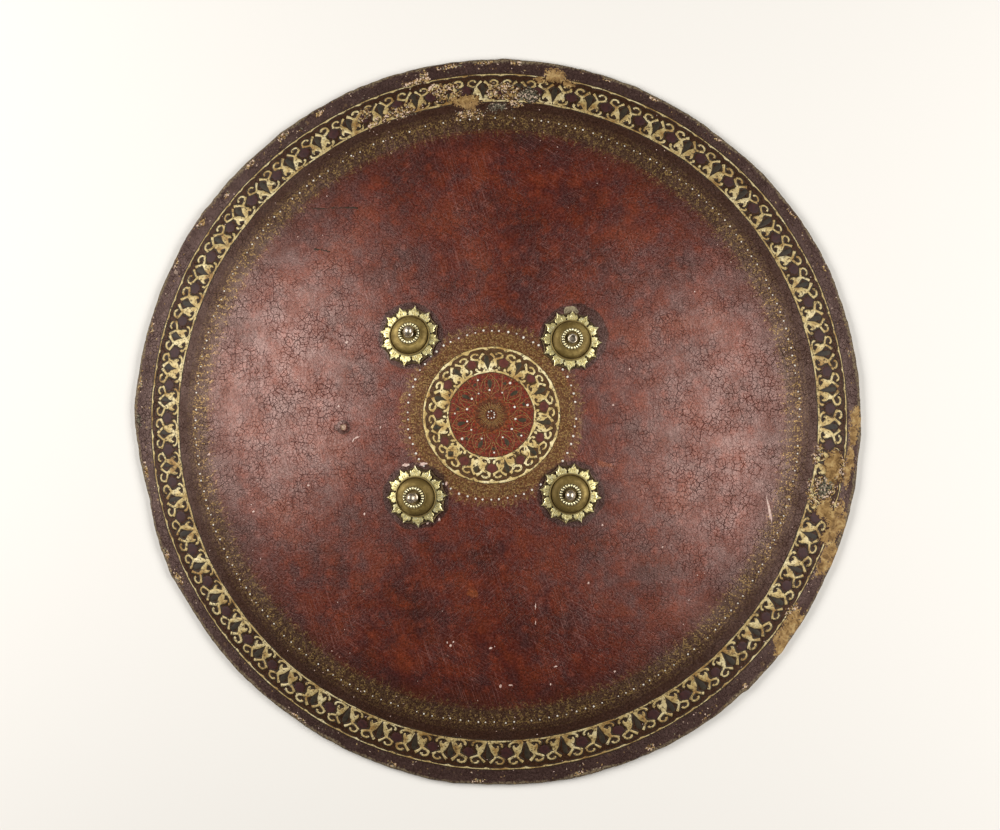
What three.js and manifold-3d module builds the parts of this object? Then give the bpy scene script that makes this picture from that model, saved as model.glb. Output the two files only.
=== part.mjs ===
// A round dhal shield of lacquered hide, lying face up on its rim.
// Millimetres. +Z is up out of the face, +Y is the top of the face and +X its right side.
// The origin is on the plane that the rim rests on, below the middle of the dome.

import * as THREE from 'three';
import { mergeVertices } from 'three/addons/utils/BufferGeometryUtils.js';
import Module from 'manifold-3d';

const wasm = await Module();
wasm.setup();

// The hide: a dome that turns up into a shallow flared rim
const rimRadius = 270;
const flareWidth = 38;
const domeRadius = 480;
const rimSlope = 6; // degrees below level at the very edge
const hideThickness = 5.5;
const edgeRound = 1.5;
const footDepth = 0.6; // how much the rim's underside is worn flat
const domeSteps = 6;
const flareSteps = 3;
const hideSides = 72;

// The trimmed edge wanders in slow waves round the rim
const edgeWaves = [
  { count: 2, sine: -1.06, cosine: 0.14 },
  { count: 3, sine: 0.42, cosine: -0.31 },
  { count: 5, sine: -0.44, cosine: 0.5 },
];

// Bites out of the edge and swells of it, placed in degrees clockwise from the top of the face
const edgeBites = [
  { at: 40, span: 4, depth: 0.8 },
  { at: 115, span: 5, depth: 0.8 },
  { at: 187, span: 5, depth: -0.9 },
  { at: 214, span: 6, depth: 0.7 },
  { at: 245, span: 4, depth: -1.2 },
  { at: 259, span: 5, depth: 2.4 },
  { at: 272, span: 4, depth: -1.6 },
  { at: 291, span: 6, depth: 0.7 },
];

// Four bosses on a square, each a little off it and turned by eye
const bossPitch = 114;
const bosses = [
  { name: 'top_left', side: [-1, 1], drift: [-2.6, 0.3], turn: 10, ballLost: false },
  { name: 'top_right', side: [1, 1], drift: [0, -3.4], turn: 3, ballLost: true },
  { name: 'bottom_left', side: [-1, -1], drift: [3, -1.3], turn: -2.5, ballLost: false },
  { name: 'bottom_right', side: [1, -1], drift: [-0.6, 0.5], turn: 8.5, ballLost: false },
];

// Sheet brass under each boss: a twelve-sided plate, and a star of three-lobed leaves on it
const seatGap = 0.3;
const leafCount = 12;
const underPlateRadius = 22.1;
const underPlateScallop = 1.3;
const underPlateThickness = 0.8;
const starRadius = 22.4;
const starThickness = 1;

// One half of a leaf: degrees from its middle line, and how far its edge is inside the star's radius
const leafEdge = [
  { angle: 0, inset: 0 },
  { angle: 4.5, inset: 2.6 },
  { angle: 7.5, inset: 3.6 },
  { angle: 11, inset: 3.2 },
  { angle: 15, inset: 5.6 },
];

// Turned dome with a wire round its foot and a ledge round its top
const domeFootRadius = 14.9;
const wireThickness = 1.1;
const wireGroove = 0.5;
const bossDomeHeight = 5.2;
const domeShoulder = 1.2;
const bossDomeSteps = 4;
const bossSides = 18;

// Milled collar
const collarRadius = 7.9;
const collarBore = 5.4;
const collarHeight = 1.6;
const collarTeeth = 22;
const toothDepth = 0.7;
const ledgeWidth = 0.4;

// Bolt through the boss, the hide and the end of a grip, hammered over a washer behind
const shankRadius = 2.2;
const boreClearance = 0.3;
const neckStep = 1.3;
const neckHeight = 1.8;
const ballStep = 1.55;
const recessDepth = 1.2;
const rivetStep = 1.9;
const rivetHeight = 1.6;
const boltSides = 10;
const boreSides = 12;
const ballSteps = 5;
const washerRadius = 8.5;
const washerThickness = 1.2;
const washerSides = 12;

// Two leather grips behind the hide, each bolted at both ends
const gripWidth = 25;
const gripWaist = 3; // how much narrower it is where the hand closes on it
const gripThickness = 4;
const gripRise = 32;
const gripSeat = 10; // from a bolt to where the grip lifts off the hide
const gripTab = 13; // from a bolt to the grip's end
const gripBend = 0.3; // how softly it lifts off, as a share of the rise
const gripSteps = 26;
const grips = [
  { name: 'grip_left', upper: 'top_left', lower: 'bottom_left' },
  { name: 'grip_right', upper: 'top_right', lower: 'bottom_right' },
];

// Sizes that follow from those above
const rad = THREE.MathUtils.degToRad;
const domeReach = rimRadius - flareWidth;
const turnAngle = Math.asin(domeReach / domeRadius);
const edgeAngle = rad(rimSlope);
const flareRadius = (flareWidth - edgeRound) / (Math.sin(turnAngle) - Math.sin(edgeAngle));
const edgeHeight = hideThickness * Math.cos(edgeAngle) - footDepth;
const turnHeight = edgeHeight + flareRadius * (Math.cos(edgeAngle) - Math.cos(turnAngle));
const domeCentre = new THREE.Vector3(0, 0, turnHeight - domeRadius * Math.cos(turnAngle));
const footAngle = Math.acos(
  (turnHeight + flareRadius * Math.cos(turnAngle)) / (flareRadius + hideThickness),
);
const boreRadius = shankRadius + boreClearance;
const neckRadius = shankRadius + neckStep;
const ballRadius = shankRadius + ballStep;
const facetRise = domeRadius * (1 - Math.cos(turnAngle / domeSteps / 2));
const gripFace = hideThickness + facetRise + seatGap;
const washerFace = gripFace + gripThickness + seatGap;
const rivetFace = washerFace + washerThickness + seatGap;
const underPlateBase = seatGap;
const starBase = underPlateBase + underPlateThickness + seatGap;
const bossDomeBase = starBase + starThickness + seatGap;
const bossDomeTop = bossDomeBase + bossDomeHeight;
const neckBase = bossDomeTop + seatGap;

const hideLeather = new THREE.MeshStandardMaterial({ color: 0x6e2a20, roughness: 0.42 });
const gripLeather = new THREE.MeshStandardMaterial({ color: 0x5a3a24, roughness: 0.7 });
const paleBrass = new THREE.MeshStandardMaterial({ color: 0xcfc27a, roughness: 0.35, metalness: 1 });
const bronzedSheet = new THREE.MeshStandardMaterial({ color: 0x6b5228, roughness: 0.5, metalness: 1 });
const dullBrass = new THREE.MeshStandardMaterial({ color: 0x7a6530, roughness: 0.4, metalness: 1 });
const wornBrass = new THREE.MeshStandardMaterial({ color: 0xd9cc8c, roughness: 0.3, metalness: 1 });
const silveredBrass = new THREE.MeshStandardMaterial({ color: 0xb9ada0, roughness: 0.2, metalness: 1 });

// A closed mesh with merged vertices, as a solid that can be joined and cut
function toSolid(geometry) {
  const bare = geometry.clone();
  bare.deleteAttribute('normal');
  bare.deleteAttribute('uv');
  const merged = mergeVertices(bare, 1e-4);
  const corners = merged.index.array;
  const triVerts = [];
  for (let i = 0; i < corners.length; i += 3) {
    const [a, b, c] = corners.slice(i, i + 3);
    if (a !== b && b !== c && c !== a) {
      triVerts.push(a, b, c);
    }
  }
  const vertProperties = merged.attributes.position.array;
  const mesh = new wasm.Mesh({ numProp: 3, vertProperties, triVerts: new Uint32Array(triVerts) });
  return new wasm.Manifold(mesh);
}

function toGeometry(solid) {
  const mesh = solid.getMesh();
  const geometry = new THREE.BufferGeometry();
  geometry.setAttribute('position', new THREE.BufferAttribute(mesh.vertProperties, 3));
  geometry.setIndex(new THREE.BufferAttribute(mesh.triVerts, 1));
  geometry.computeVertexNormals();
  return geometry;
}

function namedMesh(name, geometry, material) {
  const mesh = new THREE.Mesh(geometry, material);
  mesh.name = name;
  return mesh;
}

// A profile of [radius, height] pairs turned about +Z
function turned(profile, sides) {
  const points = profile.map(([radius, height]) => new THREE.Vector2(radius, height));
  return new THREE.LatheGeometry(points, sides).rotateX(Math.PI / 2);
}

// Evenly spaced values from one end to the other, both included
function spaced(from, to, steps) {
  return Array.from({ length: steps + 1 }, (_, i) => from + ((to - from) * i) / steps);
}

// Moves each vertex of a geometry by a function of its position
function reshape(geometry, move) {
  const position = geometry.attributes.position;
  const point = new THREE.Vector3();
  for (let i = 0; i < position.count; i += 1) {
    move(point.fromBufferAttribute(position, i));
    position.setXYZ(i, point.x, point.y, point.z);
  }
  return geometry;
}

// The middle of a boss on the face, as a direction from the dome's centre
function bossDirection({ side, drift }) {
  const x = (side[0] * bossPitch) / 2 + drift[0];
  const y = (side[1] * bossPitch) / 2 + drift[1];
  return new THREE.Vector3(x, y, Math.sqrt(domeRadius ** 2 - x ** 2 - y ** 2)).normalize();
}

// A bore for a bolt, along a direction from the dome's centre, through all that the bolt holds
function boltBore(direction) {
  const inner = domeRadius - 2 * (rivetFace + rivetHeight);
  const outer = domeRadius + 2 * bossDomeTop;
  const bore = new THREE.CylinderGeometry(boreRadius, boreRadius, outer - inner, boreSides);
  const turn = new THREE.Quaternion().setFromUnitVectors(new THREE.Vector3(0, 1, 0), direction);
  bore.applyQuaternion(turn);
  const middle = direction.clone().multiplyScalar((inner + outer) / 2);
  return bore.translate(middle.x, middle.y, middle.z);
}

// How far the trimmed edge stands out from its round, at an angle clockwise from the top
function edgeWander(angle) {
  let out = 0;
  for (const { count, sine, cosine } of edgeWaves) {
    out += sine * Math.sin(count * angle) + cosine * Math.cos(count * angle);
  }
  for (const { at, span, depth } of edgeBites) {
    const away = THREE.MathUtils.euclideanModulo(angle - rad(at) + Math.PI, 2 * Math.PI) - Math.PI;
    out -= depth * Math.exp(-((away / rad(span)) ** 2));
  }
  return out;
}

// The hide's section, from the middle of its back round the edge to the middle of its face
function hideProfile() {
  const dome = (angle) => [domeRadius * Math.sin(angle), domeCentre.z + domeRadius * Math.cos(angle)];
  const flare = (angle) => [
    domeReach + flareRadius * (Math.sin(turnAngle) - Math.sin(angle)),
    turnHeight - flareRadius * (Math.cos(angle) - Math.cos(turnAngle)),
  ];
  const back = (place) => (angle) => {
    const [radius, height] = place(angle);
    return [radius - hideThickness * Math.sin(angle), height - hideThickness * Math.cos(angle)];
  };
  return [
    ...spaced(0, turnAngle, domeSteps).map(back(dome)),
    ...spaced(turnAngle, footAngle, flareSteps).slice(1).map(back(flare)),
    [rimRadius - edgeRound, 0],
    [rimRadius, edgeHeight * 0.45],
    ...spaced(edgeAngle, turnAngle, flareSteps).map(flare),
    ...spaced(turnAngle, 0, domeSteps).slice(1).map(dome),
  ];
}

function hideShell() {
  const wanderStart = rimRadius - flareWidth / 4;
  const shell = reshape(turned(hideProfile(), hideSides), (point) => {
    const radius = Math.hypot(point.x, point.y);
    const share = THREE.MathUtils.smoothstep(radius, wanderStart, rimRadius - edgeRound);
    const grown = radius + share * edgeWander(Math.atan2(point.x, point.y));
    if (share > 0) {
      point.multiply(new THREE.Vector3(grown / radius, grown / radius, 1));
    }
  });
  let solid = toSolid(shell);
  for (const boss of bosses) {
    const bore = boltBore(bossDirection(boss)).translate(0, 0, domeCentre.z);
    solid = solid.subtract(toSolid(bore));
  }
  return namedMesh('hide_shell', toGeometry(solid), hideLeather);
}

// A flat plate bored for the bolt, then dished to lie on the dome
function dishedPlate(outline, thickness, base) {
  const shape = new THREE.Shape(outline);
  const bore = spaced(0, 360, boreSides).slice(1).map((degrees) => polar(degrees, boreRadius));
  shape.holes.push(new THREE.Path(bore.reverse()));
  const settings = { depth: thickness, bevelEnabled: false };
  return reshape(new THREE.ExtrudeGeometry(shape, settings), (point) => {
    const across = Math.hypot(point.x, point.y);
    point.z += base - (domeRadius - Math.sqrt(domeRadius ** 2 - across ** 2));
  });
}

function polar(degrees, radius) {
  return new THREE.Vector2(radius * Math.sin(rad(degrees)), radius * Math.cos(rad(degrees)));
}

function underPlate() {
  const step = 360 / leafCount;
  const outline = [];
  for (let leaf = 0; leaf < leafCount; leaf += 1) {
    outline.push(polar(leaf * step, underPlateRadius));
    outline.push(polar((leaf + 0.5) * step, underPlateRadius - underPlateScallop));
  }
  return dishedPlate(outline, underPlateThickness, underPlateBase);
}

function starPlate() {
  const step = 360 / leafCount;
  const halfLeaf = leafEdge[leafEdge.length - 1].angle;
  const before = leafEdge.slice(1, -1).reverse().map(({ angle, inset }) => ({ angle: -angle, inset }));
  const outline = [];
  for (let leaf = 0; leaf < leafCount; leaf += 1) {
    for (const { angle, inset } of [...before, ...leafEdge]) {
      const turn = leaf * step + (angle / halfLeaf) * (step / 2);
      outline.push(polar(turn, starRadius - inset));
    }
  }
  return dishedPlate(outline, starThickness, starBase);
}

function bossDome() {
  const foot = bossDomeBase;
  const wireMiddle = foot + wireThickness / 2;
  const bodyRadius = domeFootRadius - wireThickness - 0.4;
  const ledgeRadius = collarRadius + ledgeWidth;
  const shoulder = foot + domeShoulder;
  const body = spaced(0, Math.PI / 2, bossDomeSteps).map((angle) => [
    ledgeRadius + (bodyRadius - ledgeRadius) * Math.cos(angle),
    shoulder + (bossDomeTop - shoulder) * Math.sin(angle),
  ]);
  return turned([
    [boreRadius, foot],
    [domeFootRadius - wireThickness / 2, foot],
    [domeFootRadius, wireMiddle],
    [domeFootRadius - wireThickness / 2, foot + wireThickness],
    [bodyRadius, foot + wireGroove],
    ...body,
    [boreRadius, bossDomeTop],
    [boreRadius, foot],
  ], bossSides);
}

// A ring whose top and outside are milled into radial teeth
function milledCollar() {
  const top = neckBase + collarHeight;
  const ring = turned([
    [collarBore, neckBase],
    [collarRadius, neckBase],
    [collarRadius, neckBase + collarHeight * 0.4],
    [(collarRadius + collarBore) / 2, top],
    [collarBore, neckBase],
  ], 2 * collarTeeth);
  return reshape(ring, (point) => {
    const radius = Math.hypot(point.x, point.y);
    const valley = Math.round((Math.atan2(point.x, point.y) / Math.PI) * collarTeeth) % 2 !== 0;
    const outside = radius > (collarRadius + collarBore) / 2;
    if (valley && outside) {
      point.multiply(new THREE.Vector3(1 - toothDepth / radius, 1 - toothDepth / radius, 1));
    }
    if (valley && point.z > top - toothDepth) {
      point.z -= toothDepth;
    }
  });
}

// The shank runs from a hammered end behind the washer to a neck in front of the dome.
// A ball tops the neck. Where the ball is lost, the neck is an open cup.
function ballBolt(ballLost) {
  const behind = -rivetFace;
  const rivetRadius = shankRadius + rivetStep;
  const neckTop = neckBase + neckHeight;
  const start = Math.asin(shankRadius / ballRadius);
  const ballMiddle = neckTop + ballRadius * Math.cos(start);
  const ball = spaced(Math.PI - start, 0, ballSteps).map((angle) => [
    angle === 0 ? 0 : ballRadius * Math.sin(angle),
    ballMiddle + ballRadius * Math.cos(angle),
  ]);
  const cup = [
    [shankRadius, neckTop],
    [shankRadius * 0.8, neckTop - recessDepth],
    [0, neckTop - recessDepth],
  ];
  return turned([
    [0, behind - rivetHeight],
    [rivetRadius * 0.7, behind - rivetHeight * 0.7],
    [rivetRadius, behind],
    [shankRadius, behind],
    [shankRadius, neckBase],
    [neckRadius, neckBase],
    [neckRadius, neckTop - neckHeight * 0.3],
    [neckRadius - neckHeight * 0.25, neckTop],
    ...(ballLost ? cup : ball),
  ], boltSides);
}

function backWasher() {
  return turned([
    [boreRadius, -washerFace - washerThickness],
    [washerRadius, -washerFace - washerThickness],
    [washerRadius, -washerFace],
    [boreRadius, -washerFace],
    [boreRadius, -washerFace - washerThickness],
  ], washerSides);
}

// All that one bolt holds, in a group that stands on the face of the dome, square to it
function bossGroup(boss) {
  const out = bossDirection(boss);
  const across = new THREE.Vector3(1, 0, 0).addScaledVector(out, -out.x).normalize();
  const up = new THREE.Vector3().crossVectors(out, across);
  const seat = out.clone().multiplyScalar(domeRadius).add(domeCentre);
  const group = new THREE.Group();
  group.applyMatrix4(new THREE.Matrix4().makeBasis(across, up, out).setPosition(seat));
  const plate = namedMesh(`under_plate_${boss.name}`, underPlate(), bronzedSheet);
  const star = namedMesh(`star_plate_${boss.name}`, starPlate(), paleBrass);
  plate.rotation.z = -rad(boss.turn);
  star.rotation.z = -rad(boss.turn);
  group.add(
    plate,
    star,
    namedMesh(`boss_dome_${boss.name}`, bossDome(), dullBrass),
    namedMesh(`milled_collar_${boss.name}`, milledCollar(), wornBrass),
    namedMesh(`ball_bolt_${boss.name}`, ballBolt(boss.ballLost), silveredBrass),
    namedMesh(`back_washer_${boss.name}`, backWasher(), dullBrass),
  );
  return group;
}

// The grip's section along its length, about the dome's centre: flat seats under the washers
// and an arch between them, where (1 - u^2) is rounded off so that it lifts softly
function gripSection(boltArc, faceRadius) {
  const free = boltArc - gripSeat;
  const end = boltArc + gripTab;
  const soft = (value) => Math.sqrt(value ** 2 + gripBend ** 2) - gripBend;
  const middle = (along) => {
    const arch = soft(Math.max(0, 1 - (along / free) ** 2)) / soft(1);
    const radius = faceRadius - gripThickness / 2 - gripRise * arch;
    return new THREE.Vector2(Math.sin(along / faceRadius), Math.cos(along / faceRadius)).multiplyScalar(radius);
  };
  const edge = (side) => (along) => {
    const here = middle(along);
    const ahead = middle(along + 0.01).sub(middle(along - 0.01)).normalize();
    return here.add(new THREE.Vector2(-ahead.y, ahead.x).multiplyScalar((side * gripThickness) / 2));
  };
  const stations = spaced(-end, end, gripSteps);
  return [...stations.map(edge(-1)), ...stations.reverse().map(edge(1))];
}

// The grip seen square on: round ends and a waist
function gripOutline(boltArc, faceRadius) {
  const end = faceRadius * Math.sin((boltArc + gripTab) / faceRadius);
  const round = gripWidth / 2;
  const straight = end - round;
  const right = [];
  for (const angle of spaced(-Math.PI / 2, 0, 4)) {
    right.push(new THREE.Vector2(round * Math.cos(angle), -straight + round * Math.sin(angle)));
  }
  for (const along of spaced(-straight, straight, 8).slice(1, -1)) {
    const waist = (gripWaist / 2) * Math.cos((along / straight) * (Math.PI / 2)) ** 2;
    right.push(new THREE.Vector2(round - waist, along));
  }
  for (const angle of spaced(0, Math.PI / 2, 4)) {
    right.push(new THREE.Vector2(round * Math.cos(angle), straight + round * Math.sin(angle)));
  }
  const left = right.slice(1, -1).reverse().map((point) => new THREE.Vector2(-point.x, point.y));
  return [...right, ...left];
}

function grip({ name, upper, lower }) {
  const top = bossDirection(bosses.find((boss) => boss.name === upper));
  const bottom = bossDirection(bosses.find((boss) => boss.name === lower));
  const out = top.clone().add(bottom).normalize();
  const along = top.clone().sub(bottom).normalize();
  const across = new THREE.Vector3().crossVectors(along, out);
  const halfAngle = Math.acos(top.dot(out));
  const faceRadius = domeRadius - gripFace;
  const boltArc = faceRadius * halfAngle;
  const depth = gripWidth * 2;
  const section = new THREE.Shape(gripSection(boltArc, faceRadius));
  const bent = new THREE.ExtrudeGeometry(section, { depth, bevelEnabled: false });
  bent.translate(0, 0, -depth / 2);
  bent.applyMatrix4(new THREE.Matrix4().makeBasis(
    new THREE.Vector3(0, 1, 0),
    new THREE.Vector3(0, 0, 1),
    new THREE.Vector3(1, 0, 0),
  ));
  const height = gripRise + 4 * gripThickness;
  const plan = new THREE.ExtrudeGeometry(new THREE.Shape(gripOutline(boltArc, faceRadius)), {
    depth: height,
    bevelEnabled: false,
  });
  plan.translate(0, 0, faceRadius + gripThickness - height);
  let solid = toSolid(bent).intersect(toSolid(plan));
  for (const side of [-1, 1]) {
    const bolt = new THREE.Vector3(0, side * Math.sin(halfAngle), Math.cos(halfAngle));
    solid = solid.subtract(toSolid(boltBore(bolt)));
  }
  const mesh = namedMesh(name, toGeometry(solid), gripLeather);
  mesh.applyMatrix4(new THREE.Matrix4().makeBasis(across, along, out).setPosition(domeCentre));
  return mesh;
}

const shield = new THREE.Group();
shield.add(hideShell());
for (const boss of bosses) {
  shield.add(bossGroup(boss));
}
for (const pair of grips) {
  shield.add(grip(pair));
}

export default shield;
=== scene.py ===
# A dhal shield of lacquered hide, lying face up, with gilt scrollwork, four brass bosses and two grips.
# Lengths are in millimetres, and angles in degrees clockwise from the top of the face.
# A mesh is made in metres.

import math

import bpy
import numpy as np
from mathutils import Matrix, Vector


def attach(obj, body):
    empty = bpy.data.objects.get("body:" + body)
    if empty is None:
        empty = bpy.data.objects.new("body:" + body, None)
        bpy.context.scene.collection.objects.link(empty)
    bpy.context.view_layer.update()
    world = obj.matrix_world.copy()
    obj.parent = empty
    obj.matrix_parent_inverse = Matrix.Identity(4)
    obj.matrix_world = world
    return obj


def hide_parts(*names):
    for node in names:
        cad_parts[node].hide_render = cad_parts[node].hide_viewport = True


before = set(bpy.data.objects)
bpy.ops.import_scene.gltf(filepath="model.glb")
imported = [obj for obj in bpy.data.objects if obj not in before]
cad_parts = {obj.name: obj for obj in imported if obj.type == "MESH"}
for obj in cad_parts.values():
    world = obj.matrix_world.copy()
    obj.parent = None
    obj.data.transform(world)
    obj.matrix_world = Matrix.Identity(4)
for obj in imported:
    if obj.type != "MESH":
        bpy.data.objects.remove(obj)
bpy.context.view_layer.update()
mm = 0.001
print("frame loaded with", len(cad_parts), "nodes")


# Camera, lights and floor

cameraLook = {
    "distance": 2200,  # from the plane of the rim
    "lean": (0.0559, -0.0511),  # sideways and downwards for each unit of height
    "aim": (2.28, 3.55, 4.9),
    "lens": 106.57,  # focal length on a 36 mm sensor
}

lightLook = {
    "left": {"towards": (-0.742, 0.160, 0.657), "away": 1500, "size": (800, 1100), "power": 24.5},
    "right": {"towards": (0.724, -0.005, 0.690), "away": 1500, "size": (800, 1400), "power": 24},
}

floorLook = {"size": 6000, "colour": "#dedad3", "world": "#fff6ee", "worldStrength": 0.05}


def srgb(hexColour):
    # a screen colour as the linear light that shaders take
    parts = [int(hexColour[i:i + 2], 16) / 255 for i in (1, 3, 5)]
    return [p / 12.92 if p <= 0.04045 else ((p + 0.055) / 1.055) ** 2.4 for p in parts] + [1.0]


def addNode(tree, kind, settings=None, inputs=None):
    # One node. An input is a plain value, a screen colour, another node's first output or a named output.
    # The inputs are given by name, or as a list in the node's own order.
    node = tree.nodes.new("ShaderNode" + kind)
    for name, value in (settings or {}).items():
        if name in ("stops", "steps"):
            node.color_ramp.interpolation = "LINEAR" if name == "stops" else "CONSTANT"
            while len(node.color_ramp.elements) < len(value):
                node.color_ramp.elements.new(1.0)
            for element, (place, colour) in zip(node.color_ramp.elements, value):
                element.position = place
                element.color = srgb(colour)
        else:
            setattr(node, name, value)
    if isinstance(inputs, list):
        inputs = dict(enumerate(inputs))
    for name, value in (inputs or {}).items():
        if isinstance(value, bpy.types.Node):
            tree.links.new(value.outputs[0], node.inputs[name])
        elif isinstance(value, bpy.types.NodeSocket):
            tree.links.new(value, node.inputs[name])
        else:
            node.inputs[name].default_value = srgb(value) if isinstance(value, str) else value
    return node


# Settings that many nodes share
smooth = {"interpolation_type": "SMOOTHSTEP"}
times = {"operation": "MULTIPLY"}
timesPlus = {"operation": "MULTIPLY_ADD"}
largest = {"operation": "MAXIMUM"}
blended = {"blend_type": "MULTIPLY"}


def newMaterial(name):
    # an empty material, ready for its shader
    material = bpy.data.materials.new(name)
    material.use_nodes = True
    material.node_tree.nodes.clear()
    return material, material.node_tree


def finishMaterial(tree, shader):
    addNode(tree, "OutputMaterial", None, {"Surface": shader})


def placeCamera(look):
    back = Vector((look["lean"][0], look["lean"][1], 1.0)).normalized()
    right = Vector((0, 1, 0)).cross(back).normalized()
    up = back.cross(right)
    data = bpy.data.cameras.new("photo_camera")
    data.lens = look["lens"]
    data.sensor_width = 36
    data.clip_end = 50
    camera = bpy.data.objects.new("photo_camera", data)
    turn = Matrix((right, up, back)).transposed().to_4x4()
    camera.matrix_world = Matrix.Translation((Vector(look["aim"]) + back * look["distance"]) * mm) @ turn
    bpy.context.scene.collection.objects.link(camera)
    bpy.context.scene.camera = camera


def placeLights(looks):
    for name, look in looks.items():
        towards = Vector(look["towards"]).normalized()
        data = bpy.data.lights.new("softbox_" + name, "AREA")
        data.shape = "RECTANGLE"
        data.size, data.size_y = look["size"][0] * mm, look["size"][1] * mm
        data.energy = look["power"]
        light = bpy.data.objects.new("softbox_" + name, data)
        right = Vector((0, 1, 0)).cross(towards).normalized()
        turn = Matrix((right, towards.cross(right), towards)).transposed().to_4x4()
        light.matrix_world = Matrix.Translation(towards * look["away"] * mm) @ turn
        bpy.context.scene.collection.objects.link(light)


def placeFloor(look):
    half = look["size"] * mm / 2
    mesh = bpy.data.meshes.new("studio_floor")
    corners = [(-half, -half, 0), (half, -half, 0), (half, half, 0), (-half, half, 0)]
    mesh.from_pydata(corners, [], [(0, 1, 2, 3)])
    floor = bpy.data.objects.new("studio_floor", mesh)
    floor.location.z = -0.2 * mm
    bpy.context.scene.collection.objects.link(floor)
    material, tree = newMaterial("matt paper sweep")
    shader = addNode(tree, "BsdfPrincipled", None, {
        "Base Color": look["colour"], "Roughness": 0.9, "Specular IOR Level": 0.2})
    finishMaterial(tree, shader)
    mesh.materials.append(material)
    world = bpy.data.worlds.new("studio_air")
    world.use_nodes = True
    world.node_tree.nodes["Background"].inputs["Color"].default_value = srgb(look["world"])
    world.node_tree.nodes["Background"].inputs["Strength"].default_value = look["worldStrength"]
    bpy.context.scene.world = world
    bpy.context.scene.view_settings.view_transform = "Standard"


placeCamera(cameraLook)
placeLights(lightLook)
placeFloor(floorLook)
print("studio ready")


# Meshes from grids

def gridQuads(rows, columns, closedRows=False):
    # quads between neighbouring rows; columns wrap round, and rows do too where they are closed
    row = np.arange(rows if closedRows else rows - 1)[:, None]
    column = np.arange(columns)[None, :]
    after = (column + 1) % columns
    below = (row + 1) % rows
    corners = [
        row * columns + column, row * columns + after, below * columns + after, below * columns + column]
    return np.stack(np.broadcast_arrays(*corners), axis=-1).reshape(-1, 4)


def poleFans(rows, columns):
    # triangles that close the first and last row of a grid on two poles, which follow its vertices
    column = np.arange(columns)
    after = (column + 1) % columns
    first, last = rows * columns, rows * columns + 1
    start = np.stack([np.full(columns, first), after, column], axis=-1)
    base = (rows - 1) * columns
    end = np.stack([np.full(columns, last), base + column, base + after], axis=-1)
    return np.concatenate([start, end])


def repeated(faces, copies, stride):
    # the same faces for each copy, with its own vertices
    return (faces[None, :, :] + (np.arange(copies) * stride)[:, None, None]).reshape(-1, faces.shape[1])


def signedVolume(points, quads, triangles):
    # six times the volume inside, from the triangles' corners; below nought where faces point inwards
    parts = [triangles]
    if len(quads):
        parts += [quads[:, [0, 1, 2]], quads[:, [0, 2, 3]]]
    corner = points[np.concatenate(parts)]
    return np.einsum("ij,ij->i", corner[:, 0], np.cross(corner[:, 1], corner[:, 2])).sum()


def makePiece(name, points, quads, triangles, materials, faceMaterial=None, sharpAngle=None):
    # points in millimetres; quads and triangles as whole arrays, turned outwards where they point in
    points = np.asarray(points, float).reshape(-1, 3)
    quads = np.asarray(quads, int).reshape(-1, 4)
    triangles = np.asarray(triangles, int).reshape(-1, 3)
    if signedVolume(points, quads, triangles) < 0:
        quads = quads[:, ::-1]
        triangles = triangles[:, ::-1]
    mesh = bpy.data.meshes.new(name)
    sizes = np.concatenate([np.full(len(quads), 4), np.full(len(triangles), 3)])
    mesh.vertices.add(len(points))
    mesh.vertices.foreach_set("co", (points * mm).ravel())
    mesh.loops.add(int(sizes.sum()))
    allCorners = np.concatenate([quads.ravel(), triangles.ravel()]).astype(np.int32)
    mesh.loops.foreach_set("vertex_index", allCorners)
    mesh.polygons.add(len(sizes))
    mesh.polygons.foreach_set("loop_start", (np.cumsum(sizes) - sizes).astype(np.int32))
    for material in materials:
        mesh.materials.append(material)
    if faceMaterial is not None:
        mesh.polygons.foreach_set("material_index", np.asarray(faceMaterial, np.int32))
    mesh.update(calc_edges=True)
    mesh.validate()
    mesh.shade_smooth()
    if sharpAngle:
        mesh.set_sharp_from_angle(angle=math.radians(sharpAngle))
    piece = bpy.data.objects.new(name, mesh)
    bpy.context.scene.collection.objects.link(piece)
    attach(piece, "root")
    return piece


def addAttribute(piece, name, values):
    # one number for each vertex, which a material reads by its name
    attribute = piece.data.attributes.new(name, "FLOAT", "POINT")
    attribute.data.foreach_set("value", np.asarray(values, np.float32).ravel())


def smoothStep(value, low, high):
    # nought below low, one above high, and an S curve between them
    share = np.clip((value - low) / (high - low), 0, 1)
    return share * share * (3 - 2 * share)


def latticeNoise(x, y, cell, seed):
    # random heights on a square lattice, blended by S curves between its corners, from -1 to 1
    table = np.random.default_rng(seed).uniform(-1, 1, (256, 256))
    u, v = x / cell, y / cell
    column, row = np.floor(u).astype(int), np.floor(v).astype(int)
    fu, fv = smoothStep(u - column, 0, 1), smoothStep(v - row, 0, 1)
    here = table[column % 256, row % 256] * (1 - fu) + table[(column + 1) % 256, row % 256] * fu
    above = table[column % 256, (row + 1) % 256] * (1 - fu) + table[(column + 1) % 256, (row + 1) % 256] * fu
    return here * (1 - fv) + above * fv


# The form of the hide, which all that lies on it follows

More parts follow.
